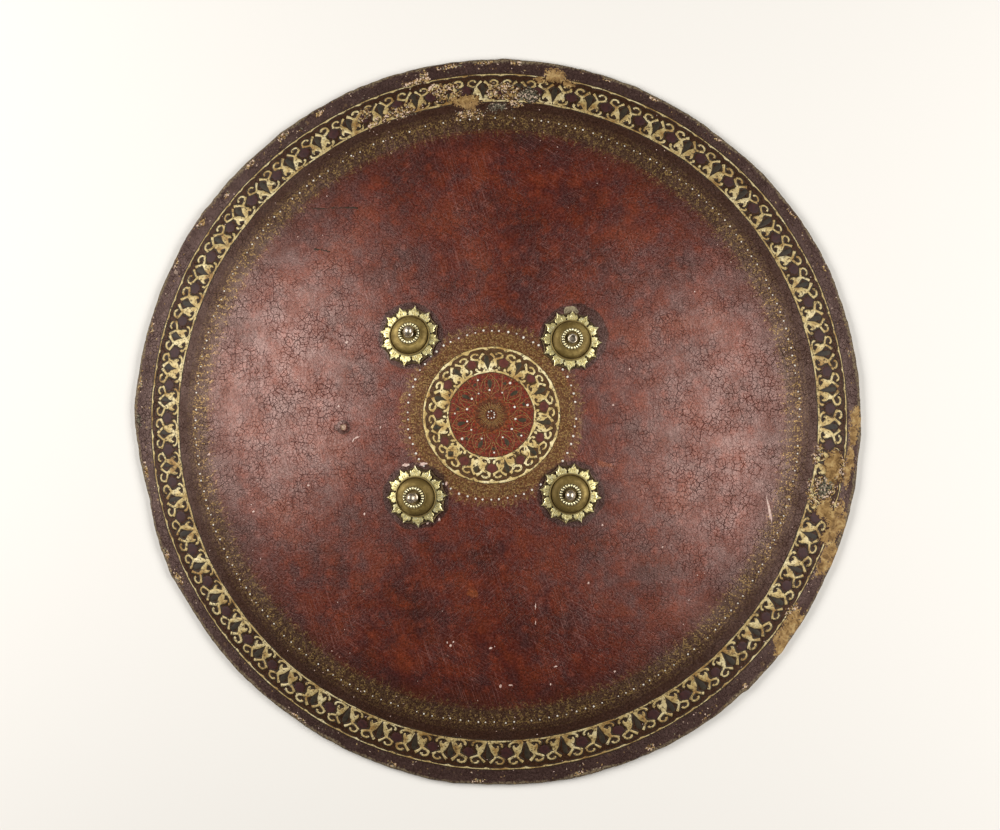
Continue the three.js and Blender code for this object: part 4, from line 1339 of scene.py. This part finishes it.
def leafPrint(look, boss):
    # a lobed patch of bared ground, with fine dark strokes that fan out from the boss
    rng = np.random.default_rng(121)
    middle = bossPlace(boss)
    corner = np.radians(np.arange(40) * 9)
    lobed = 1 + 0.1 * np.abs(np.sin(look["lobes"] * corner / 2 + 0.5)) + 0.05 * rng.uniform(-1, 1, 40)
    ground = paintedPatches(
        np.array([middle[0]]), np.array([middle[1] + look["distance"]]), np.zeros(1),
        (lobed * look["halfWidth"] * np.sin(corner))[None, :],
        (lobed * look["halfHeight"] * np.cos(corner))[None, :],
        0.05)
    makePiece("leaf_print", *ground, [wornGround])
    angle = np.radians(np.linspace(-look["spread"], look["spread"], look["strokes"]))[:, None]
    reach = look["distance"] + np.linspace(-0.8, 0.85, 5) * look["halfHeight"] * rng.uniform(
        0.75, 1, angle.shape)
    paths = np.stack([middle[0] + reach * np.sin(angle), middle[1] + reach * np.cos(angle)], axis=-1)
    strokes = paintedStrokes(paths, np.tile([0.25, 0.45, 0.5, 0.4, 0.2], (look["strokes"], 1)), 0.2)
    makePiece("leaf_print_strokes", *strokes, [outlinePaint])


leafPrint(leafMark, bosses[1])
print("painting made")


# Bosses

def castBrass(name, base, shade, light, roughness, size, relief, metallic=1.0):
    # Worked brass under handling grime: a metal whose tone and gloss change over small blotches.
    # Its recesses are darkened, partly by grime and partly as painted shade, and its edges are brightened,
    # partly by rubbing and partly as painted highlights.
    material, tree = newMaterial(name)
    recess = addNode(tree, "Attribute", {"attribute_name": "recess"}).outputs["Fac"]
    rubbed = addNode(tree, "Attribute", {"attribute_name": "rubbed"}).outputs["Fac"]
    place = addNode(tree, "TexCoord").outputs["Object"]
    blotch = addNode(tree, "TexNoise", None, {
        "Vector": place, "Scale": 1000 / size, "Detail": 5.0, "Roughness": 0.65})
    ticks = addNode(tree, "TexVoronoi", None, {"Vector": place, "Scale": 1000 / 0.7})
    colour = addNode(tree, "ValToRGB", {"stops": [
        (0.3, shade), (0.5, base), (0.72, light)]}, {"Fac": blotch})
    # rubbed edges, and painted highlights
    colour = addNode(tree, "MixRGB", None, [rubbed, colour, light])
    # grime, and painted shade in grooves, gaps and holes
    colour = addNode(tree, "MixRGB", None, [recess, colour, "#35240f"])
    rough = addNode(tree, "MapRange", None, [blotch, 0.3, 0.7, roughness + 0.12, roughness - 0.06])
    rough = addNode(tree, "Math", timesPlus, [recess, 0.3, rough])
    rough = addNode(tree, "Math", {"operation": "MULTIPLY_ADD", "use_clamp": True}, [rubbed, -0.1, rough])
    metal = addNode(tree, "MapRange", None, [recess, 0, 1, metallic, metallic * 0.4])
    bump = addNode(tree, "Bump", None, {"Strength": 0.5, "Distance": relief * mm, "Height": ticks})
    shader = addNode(tree, "BsdfPrincipled", None, {
        "Base Color": colour, "Metallic": metal, "Roughness": rough, "Normal": bump})
    finishMaterial(tree, shader)
    return material


starBrass = castBrass("punched sheet brass", "#dfd090", "#a28f52", "#fbf5ce", 0.4, 2.0, 0.08, 0.85)
sheetBronze = castBrass("bronzed sheet brass", "#3a2a16", "#24180b", "#7a6644", 0.5, 2.6, 0.03, 0.7)
domeBrass = castBrass("turned brass with olive patina", "#6a5628", "#604e24", "#a58e52", 0.56, 14, 0.008, 0.6)
collarBrass = castBrass("milled brass", "#eee3b4", "#c4b47a", "#fffae0", 0.36, 1.6, 0.01, 0.9)
silverHead = castBrass("silvered brass", "#c4b6a0", "#a0917c", "#e8dfd0", 0.33, 2.8, 0.004, 0.95)


def plateStack():
    # heights of the boss's layers above the dome, each resting on the one below with a small gap
    gap = bossForm["gap"]
    star = gap + bossForm["underPlate"]["thickness"] + gap
    dome = star + bossForm["star"]["thickness"] + gap
    top = dome + bossForm["dome"]["height"]
    return {"plate": gap, "star": star, "dome": dome, "top": top, "collar": top + gap}


def spun(boss, radius, height, angle):
    # local points from radius, height and an angle clockwise, turned with the boss
    turned = np.radians(angle + boss["turn"])
    return np.stack([radius * np.sin(turned), radius * np.cos(turned), height], axis=-1)


def dished(radius):
    return shieldForm["domeRadius"] - np.sqrt(shieldForm["domeRadius"] ** 2 - radius ** 2)


leafForm = {
    "angles": (0, 1.6, 3.4, 5.4, 7.2, 8.8, 10.4, 12.2, 15),
    "insets": (0, 1.7, 2.8, 3.6, 4.0, 3.6, 3.8, 4.9, 6.6),
    "columns": 36,  # for each leaf
    "droop": 0.55,  # how far the tips bend down
    "bevel": 0.34,
    "bevelWidth": 0.75,
    "punch": {"radius": 19.9, "size": 0.5, "depth": 0.45},
    "pierced": {"radius": 15.95, "size": 0.85, "depth": 0.85},
    "engraved": {"angle": 2.6, "from": 15.8, "to": 18.0, "size": 0.28, "depth": 0.32},
}


def starLeaves(boss, form):
    # Twelve leaves as one plate: rows run from under the dome out to the leaves' edge and back beneath.
    # The top is bevelled at the edge, with a punched dot, two graver cuts and a pierced hole per leaf.
    rng = np.random.default_rng(boss["seed"])
    leaves = 12
    columns = leaves * form["columns"]
    angle = np.arange(columns) * 360 / columns
    local = (angle + 180 / leaves) % (360 / leaves) - 180 / leaves
    leaf = ((angle + 180 / leaves) // (360 / leaves)).astype(int) % leaves
    grown = 1.012 + 0.02 * rng.uniform(-1, 1, leaves)[leaf]
    rim = bossForm["star"]["radius"] * grown - np.interp(np.abs(local), form["angles"], form["insets"])
    inner = 13.2
    share = np.concatenate([np.linspace(0, 1, 22), [1.0]])
    radius = inner + (rim - inner)[None, :] * share[:, None]
    radius[-1] = rim
    fromEdge = (rim[None, :] - radius)
    tipwards = np.clip((radius - 15) / 7.4, 0, 1)
    bend = (form["droop"] + 0.5 * rng.uniform(-1, 1, leaves)[leaf][None, :]) * tipwards ** 1.5
    bend = bend + 0.55 * rng.uniform(-1, 1, leaves)[leaf][None, :] * tipwards * local[None, :] / 15
    bevel = form["bevel"] * (1 - smoothStep(fromEdge, 0, form["bevelWidth"]))
    swing = np.radians(local)[None, :] * radius
    punch, hole, cut = form["punch"], form["pierced"], form["engraved"]
    away = np.hypot(swing, radius - punch["radius"])
    dot = punch["depth"] * (1 - smoothStep(away, 0.4 * punch["size"], punch["size"]))
    valley = np.radians(15 - np.abs(local))[None, :] * radius
    away = np.hypot(valley, radius - hole["radius"])
    pit = hole["depth"] * (1 - smoothStep(away, 0.7 * hole["size"], hole["size"]))
    aside = np.abs(np.abs(local)[None, :] - cut["angle"]) * math.pi / 180 * radius
    within = smoothStep(radius, cut["from"] - 0.3, cut["from"])
    within = within * (1 - smoothStep(radius, cut["to"], cut["to"] + 0.3))
    graver = cut["depth"] * (1 - smoothStep(aside, 0, cut["size"])) * within
    base = plateStack()["star"] - dished(radius) - bend * 0.8
    top = base + bossForm["star"]["thickness"] - np.maximum(np.maximum(bevel, dot), np.maximum(pit, graver))
    top[-1] = base[-1] + 0.25
    under = np.stack([rim - 0.15, 0.5 * (rim + inner), np.full(columns, inner)])
    underBend = np.stack([bend[-1] * 0.8, bend[10] * 0.8, bend[0] * 0.0])
    underHeight = plateStack()["star"] - dished(under) - underBend
    allRadius = np.concatenate([radius, under])
    allHeight = np.concatenate([top, underHeight])
    points = bossStand(boss, spun(boss, allRadius, allHeight, angle[None, :]))
    quads = gridQuads(len(allRadius), columns, True)
    piece = makePiece("star_leaves_" + boss["name"], points, quads, [], [starBrass], sharpAngle=38)
    # the punched dots and graver cuts hold grime; the pierced holes are darkened as painted shade
    grime = np.maximum(dot / punch["depth"], np.maximum(pit / hole["depth"], 0.8 * graver / cut["depth"]))
    # painted shade: a dark ring on the leaves at the foot of the dome
    grime = np.maximum(grime, 0.6 * (1 - smoothStep(radius, 14.8, 15.9)))
    rub = 0.9 * (1 - smoothStep(fromEdge, 0.1, 0.5)) * smoothStep(radius, 18, 21) * (1 - grime)
    addAttribute(piece, "recess", np.concatenate([grime, np.zeros_like(under)]))
    addAttribute(piece, "rubbed", np.concatenate([rub, np.zeros_like(under)]))
    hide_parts("star_plate_" + boss["name"])


def bronzedPlate(boss):
    # A twelve-sided plate with hollow sides: its edge is a raised bead, and rows run as on the star
    plate = bossForm["underPlate"]
    columns = 288
    angle = np.arange(columns) * 360 / columns
    local = np.abs((angle + 15) % 30 - 15)
    rim = plate["radius"] - plate["scallop"] * np.sin(np.radians(local * 6)) ** 0.8
    share = np.array([0.0, 0.5, 0.86, 0.93, 0.955, 0.975, 0.99, 1.0, 1.0, 0.985, 0.5, 0.0])
    height = np.array([0.8, 0.8, 0.8, 0.8, 0.95, 1.02, 0.95, 0.75, 0.2, 0.0, 0.0, 0.0])
    height = height * plate["thickness"] / 0.8
    inner = 12.0
    radius = inner + (rim - inner)[None, :] * share[:, None]
    up = plateStack()["plate"] - dished(radius) + np.minimum(height[:, None], plate["thickness"] + 0.12)
    points = bossStand(boss, spun(boss, radius, up, angle[None, :]))
    piece = makePiece("bronzed_plate_" + boss["name"], points, gridQuads(len(share), columns, True), [],
        [sheetBronze])
    addAttribute(piece, "rubbed", np.repeat(0.35 * ((share > 0.95) & (height > 0.8)), columns))
    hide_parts("under_plate_" + boss["name"])


def turnedSection(boss, radius, height, columns, ripple=None):
    # a closed section turned about the boss's axis; ripple scales radius and height by angle
    angle = np.arange(columns) * 360 / columns
    out, up = radius[:, None] * np.ones(columns), height[:, None] * np.ones(columns)
    if ripple:
        out, up = ripple(out, up, angle[None, :])
    return bossStand(boss, spun(boss, out, up, angle[None, :]))


def brassDome(boss):
    # Section: a round wire at the foot, a groove, a quarter ellipse cut with shallow turning lines,
    # and a fillet round the seat of the collar
    form, stack = bossForm["dome"], plateStack()
    wire = form["wire"] / 2
    around = np.radians(np.linspace(-100, 150, 12))
    wireOut = form["radius"] - wire + wire * np.cos(around)
    wireUp = stack["dome"] + wire + wire * np.sin(around)
    body = form["radius"] - form["wire"] - 0.35
    ledge = bossForm["collar"]["radius"] + 0.5
    climb = np.radians(np.linspace(0, 86, 30))
    bodyOut = ledge + (body - ledge) * np.cos(climb)
    bodyUp = stack["dome"] + 0.9 + (form["height"] - 1.5) * np.sin(climb)
    lines = 0.05 * np.cos(np.linspace(0, 8 * 2 * math.pi, 30)) ** 8
    bodyUp = bodyUp - lines
    fillet = np.radians(np.linspace(-20, 180, 7))
    filletOut = ledge - 0.15 + 0.42 * np.cos(fillet)
    filletUp = stack["top"] - 0.42 + 0.42 * np.sin(fillet)
    bore = bossForm["bolt"]["shank"] + 0.3
    out = np.concatenate([
        [bore, 9.0], wireOut, [body + 0.1, body], bodyOut, filletOut, [ledge - 0.9, 5.0, bore]])
    up = np.concatenate([
        [stack["dome"]] * 2, wireUp, [stack["dome"] + 0.45, stack["dome"] + 0.55], bodyUp, filletUp,
        [stack["top"] - 0.5, stack["top"] - 0.5, stack["top"] - 0.5]])
    points = turnedSection(boss, out, up, 120)
    piece = makePiece("brass_dome_" + boss["name"], points, gridQuads(len(out), 120, True), [], [domeBrass],
        sharpAngle=50)
    parts = (2, len(wireOut), 2, len(bodyOut), len(filletOut), 3)
    # painted shade in the groove inside the wire and round the collar's seat, and a darker wire
    addAttribute(piece, "recess", np.repeat(np.repeat((0, 0.25, 1, 0, 0.1, 0.35), parts), 120))
    # painted highlights: a bright line along the upper outer side of the wire, and a faint one on the fillet
    rubbed = np.repeat((0.0, 0.0, 0.0, 0.0, 0.3, 0.0), parts)
    rubbed[2 + 6:2 + 8] = 1.0
    addAttribute(piece, "rubbed", np.repeat(rubbed, 120))
    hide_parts("boss_dome_" + boss["name"])


def milledCollar(boss):
    # A ring of beads: an oval section whose height and outer reach swell and pinch 22 times round
    form, stack = bossForm["collar"], plateStack()
    middle, half = (form["radius"] + form["bore"]) / 2, (form["radius"] - form["bore"]) / 2
    around = np.radians(np.arange(14) * 360 / 14)
    beads = form["beads"]

    def ripple(out, up, angle):
        swell = np.abs(np.cos(np.radians(angle * beads / 2))) ** 0.65
        reach = middle + (out - middle) * (0.84 + 0.16 * swell)
        rise = np.where(up > 0, up * (0.2 + 0.8 * swell), up)
        return reach, stack["collar"] - 0.25 + 0.45 + rise

    out = middle + half * np.cos(around)
    up = np.where(np.sin(around) > 0, form["height"] * 0.82 * np.sin(around), 0.45 * np.sin(around))
    columns = beads * 12
    points = turnedSection(boss, out, up, columns, ripple)
    piece = makePiece("milled_collar_ring_" + boss["name"], points, gridQuads(len(out), columns, True), [],
        [collarBrass])
    # painted shade in the gaps between the beads
    gap = 1 - smoothStep(np.abs(np.cos(math.pi * np.arange(columns) / 12)), 0.3, 0.72)
    addAttribute(piece, "recess", np.tile(gap, len(out)))
    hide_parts("milled_collar_" + boss["name"])


def bossBolt(boss):
    # Section from pole to pole: hammered end, shank, neck and a round head. The top right bolt has lost
    # its head, and its neck is an open cup with a bright lip.
    form, stack, gap = bossForm["bolt"], plateStack(), bossForm["gap"]
    shank, neck, ball = form["shank"], form["neck"], form["ball"]
    washer = washerHeight()
    behind = washer - gap
    hammered = np.radians(np.linspace(8, 90, 7))
    rivetOut, rivetUp = (shank + 1.9) * np.sin(hammered), behind - 1.6 * np.cos(hammered)
    foot = stack["collar"]
    if boss["name"] == "top_right":
        lip = np.radians(np.linspace(-60, 200, 12))
        headOut = np.concatenate([[neck, neck - 0.2], 2.75 + 0.72 * np.cos(lip), [1.9, 1.7, 0.9, 0.3]])
        headUp = np.concatenate([
            [foot, foot + 1.0], foot + 1.75 + 0.72 * np.sin(lip), foot + np.array([1.0, 0.5, 0.35, 0.4])])
        tip = foot + 0.42
    else:
        middle = foot + form["neckHeight"] + ball * math.cos(math.asin(shank / ball))
        rise = np.radians(np.linspace(142, 4, 22))
        collarBead = np.radians(np.linspace(-90, 90, 7))
        headOut = np.concatenate([neck - 0.5 + 0.5 * np.cos(collarBead), ball * np.sin(rise)])
        headUp = np.concatenate([foot + 0.6 + 0.5 * np.sin(collarBead), middle + ball * np.cos(rise)])
        tip = middle + ball
    out = np.concatenate([rivetOut, [shank, shank], headOut])
    up = np.concatenate([rivetUp, [behind, foot], headUp])
    columns = 48
    rings = turnedSection(boss, out, up, columns)
    poles = bossStand(boss, np.array([[0, 0, behind - 1.6], [0, 0, tip]]))
    points = np.concatenate([rings.reshape(-1, 3), poles])
    quads, fans = gridQuads(len(out), columns), poleFans(len(out), columns)
    piece = makePiece("bolt_" + boss["name"], points, quads, fans, [silverHead], sharpAngle=50)
    # painted shade inside the top right bolt's open cup
    depth = np.zeros(len(out))
    if boss["name"] == "top_right":
        depth[-5:] = 0.7
    addAttribute(piece, "recess", np.concatenate([np.repeat(depth, columns), [0.0, depth[-1]]]))
    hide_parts("ball_bolt_" + boss["name"])


gripForm = {
    "width": 25,
    "waist": 3,
    "thickness": 4,
    "rise": 32,
    "seat": 10,
    "tab": 13,
    "bend": 0.3,
    "stitchPitch": 3.6,
    "stitchInset": 2.6,
}


def gripLevel():
    # how far the grip's outer face lies behind the face of the dome
    facet = shieldForm["domeRadius"] * (1 - math.cos(turnSlope / 12))
    return shieldForm["hideThickness"] + facet + bossForm["gap"]


def washerHeight():
    # local height of the washers' inner end, below the dome's face
    return -(gripLevel() + gripForm["thickness"] + bossForm["gap"] + bossForm["washer"]["thickness"])


def rivetWasher(boss):
    # a slightly domed washer: flat towards the grip, its other face a low arc with a rounded edge
    form = bossForm["washer"]
    face = washerHeight()
    share = np.linspace(0, 1, 9)
    bore = bossForm["bolt"]["shank"] + 0.3
    out = np.concatenate([
        bore + (form["radius"] - bore) * share, [form["radius"], form["radius"] - 0.2, bore]])
    crown = np.concatenate([0.12 - 0.62 * smoothStep(share, 0.62, 1.0), [-0.95, -1.2, -1.2]])
    up = face - crown * form["thickness"] / 1.2
    points = turnedSection(boss, out, up, 64)
    piece = makePiece("rivet_washer_" + boss["name"], points, gridQuads(len(out), 64, True), [], [domeBrass])
    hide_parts("back_washer_" + boss["name"])


for boss in bosses:
    bronzedPlate(boss)
    starLeaves(boss, leafForm)
    brassDome(boss)
    milledCollar(boss)
    bossBolt(boss)
    rivetWasher(boss)
print("bosses made")


# Leather grips behind the hide

def gripLeather():
    # Vegetable-tanned cowhide, oiled and rubbed: darker at the edges, with a fine pebbled grain
    material, tree = newMaterial("oiled vegetable-tanned leather")
    place = addNode(tree, "TexCoord").outputs["Object"]
    stain = addNode(tree, "TexNoise", None, {"Vector": place, "Scale": 1000 / 16, "Detail": 5.0})
    pebble = addNode(tree, "TexVoronoi", None, {"Vector": place, "Scale": 1000 / 1.1})
    crease = addNode(tree, "TexNoise", None, {
        "Vector": place, "Scale": 1000 / 3, "Detail": 5.0, "Distortion": 0.8})
    edge = addNode(tree, "Attribute", {"attribute_name": "edgeShare"}).outputs["Fac"]
    colour = addNode(tree, "ValToRGB", {"stops": [
        (0.3, "#3c2315"), (0.52, "#5c3820"), (0.75, "#7d5231")]}, {"Fac": stain})
    colour = addNode(tree, "MixRGB", None, [edge, colour, "#26150d"])
    rough = addNode(tree, "MapRange", None, [crease, 0.3, 0.7, 0.42, 0.62])
    relief = addNode(tree, "Math", timesPlus, [crease, 1.5, pebble])
    bump = addNode(tree, "Bump", None, {"Strength": 0.5, "Distance": 0.16 * mm, "Height": relief})
    shader = addNode(tree, "BsdfPrincipled", None, {
        "Base Color": colour, "Roughness": rough, "Normal": bump, "IOR": 1.48})
    finishMaterial(tree, shader)
    return material


leather = gripLeather()
waxedThread = mattPaint("waxed linen thread", "#8a744e", "#c4ad7e", 0.8, 0.6)


def gripFrame(upper, lower):
    # axes of a grip: out from the dome's middle, along from the lower bolt to the upper, and across
    ends = []
    for boss in (upper, lower):
        x, y = bossPlace(boss)
        height = math.sqrt(shieldForm["domeRadius"] ** 2 - x * x - y * y)
        ends.append(np.array([x, y, height]) / shieldForm["domeRadius"])
    out = ends[0] + ends[1]
    out /= np.linalg.norm(out)
    along = ends[0] - ends[1]
    along /= np.linalg.norm(along)
    boltArc = (shieldForm["domeRadius"] - gripLevel()) * math.acos(ends[0] @ out)
    return np.cross(along, out), along, out, boltArc


def gripLine(form, boltArc, along):
    # the grip's middle line: seats that follow the hide at both ends and an arch between them
    faceRadius = shieldForm["domeRadius"] - gripLevel()
    u = np.clip(1 - (along / (boltArc - form["seat"])) ** 2, 0, None)
    bend = form["bend"]
    arch = (np.sqrt(u ** 2 + bend ** 2) - bend) / (math.sqrt(1 + bend ** 2) - bend)
    radius = faceRadius - form["thickness"] / 2 - form["rise"] * arch
    return radius * np.sin(along / faceRadius), radius * np.cos(along / faceRadius)


def leatherGrip(name, upper, lower, form):
    # A rounded slab carried along the arch: its plan is a strap with round ends and a waist, and its section
    # a flattened oval
    across, up, out, boltArc = gripFrame(upper, lower)
    end = boltArc + form["tab"]
    stations = 120
    along = end * np.sin(np.linspace(-math.pi / 2, math.pi / 2, stations + 2)[1:-1])
    lineY, lineZ = gripLine(form, boltArc, along)
    ahead = np.stack([np.gradient(lineY), np.gradient(lineZ)], axis=-1)
    ahead /= np.linalg.norm(ahead, axis=-1, keepdims=True)
    beyond = np.clip(np.abs(along) - (end - form["width"] / 2), 0, None)
    roundEnd = np.sqrt(np.clip(1 - (beyond / (form["width"] / 2)) ** 2, 0, 1))
    waist = form["waist"] / 2 * np.cos(np.clip(along / (end - form["width"] / 2), -1, 1) * math.pi / 2) ** 2
    half = (form["width"] / 2 - waist) * roundEnd
    sides = 28
    around = np.radians(np.arange(sides) * 360 / sides)
    flat = np.sign(np.cos(around)) * np.abs(np.cos(around)) ** 0.35
    thick = np.sign(np.sin(around)) * np.abs(np.sin(around)) ** 0.6 * form["thickness"] / 2
    thick = thick[None, :] * np.clip(roundEnd, 0.35, 1)[:, None]
    y = lineY[:, None] - ahead[:, 1:2] * thick
    z = lineZ[:, None] + ahead[:, 0:1] * thick
    x = half[:, None] * flat[None, :]
    tipY, tipZ = gripLine(form, boltArc, np.array([-end, end]))
    local = np.concatenate([
        np.stack([x, y, z], axis=-1).reshape(-1, 3), np.stack([np.zeros(2), tipY, tipZ], axis=-1)])
    points = local @ np.stack([across, up, out]) + np.array([0, 0, domeMiddle])
    piece = makePiece(name, points, gridQuads(stations, sides), poleFans(stations, sides), [leather])
    edge = np.concatenate([np.tile(smoothStep(np.abs(flat), 0.86, 1.0), stations), [1, 1]])
    addAttribute(piece, "edgeShare", edge)

    # two rows of saddle stitches on the side that faces the hand, each a short thread along the row
    pitch = form["stitchPitch"]
    count = int(2 * (end - form["width"] / 2) / pitch)
    starts = (np.arange(count) - (count - 1) / 2) * pitch
    run = starts[:, None] + np.linspace(-0.36, 0.36, 5) * pitch
    middleY, middleZ = gripLine(form, boltArc, run)
    aheadY, aheadZ = gripLine(form, boltArc, run + 0.5)
    slope = np.stack([aheadY - middleY, aheadZ - middleZ], axis=-1)
    slope /= np.linalg.norm(slope, axis=-1, keepdims=True)
    narrowing = np.cos(run / (end - form["width"] / 2) * math.pi / 2) ** 2
    narrow = form["width"] / 2 - form["waist"] / 2 * narrowing
    parts = []
    for side in (-1, 1):
        for face in (-1, 1):
            arc = np.array([0.12, 0.42, 0.5, 0.42, 0.12]) * 0.8
            off = face * (form["thickness"] / 2 * 0.93 + arc - 0.2)
            centre = np.stack([side * (narrow - form["stitchInset"]), middleY - slope[..., 1] * off,
                               middleZ + slope[..., 0] * off], axis=-1)
            ring = np.radians(np.arange(6) * 60)
            thread = np.array([0.12, 0.3, 0.34, 0.3, 0.12])
            radial = thread[:, None, None] * np.stack([np.cos(ring), np.sin(ring)], axis=-1)[None]
            ringPoints = centre[:, :, None, :] + radial[None, :, :, 0:1] * np.array([1.0, 0, 0])
            normal = np.stack([np.zeros_like(run), -slope[..., 1], slope[..., 0]], axis=-1)
            ringPoints = ringPoints + radial[None, :, :, 1:2] * normal[:, :, None, :]
            tube = np.concatenate([ringPoints.reshape(count, -1, 3), centre[:, :1], centre[:, -1:]], axis=1)
            world = tube @ np.stack([across, up, out]) + np.array([0, 0, domeMiddle])
            quads = repeated(gridQuads(5, 6), count, 32)
            parts.append((world.reshape(-1, 3), quads, repeated(poleFans(5, 6), count, 32)))
    stitches = makePiece(name + "_stitching", *gathered(parts), [waxedThread])
    return piece


byName = {boss["name"]: boss for boss in bosses}
for side in ("left", "right"):
    grip = leatherGrip("leather_grip_" + side, byName["top_" + side], byName["bottom_" + side], gripForm)
    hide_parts("grip_" + side)
print("grips made")
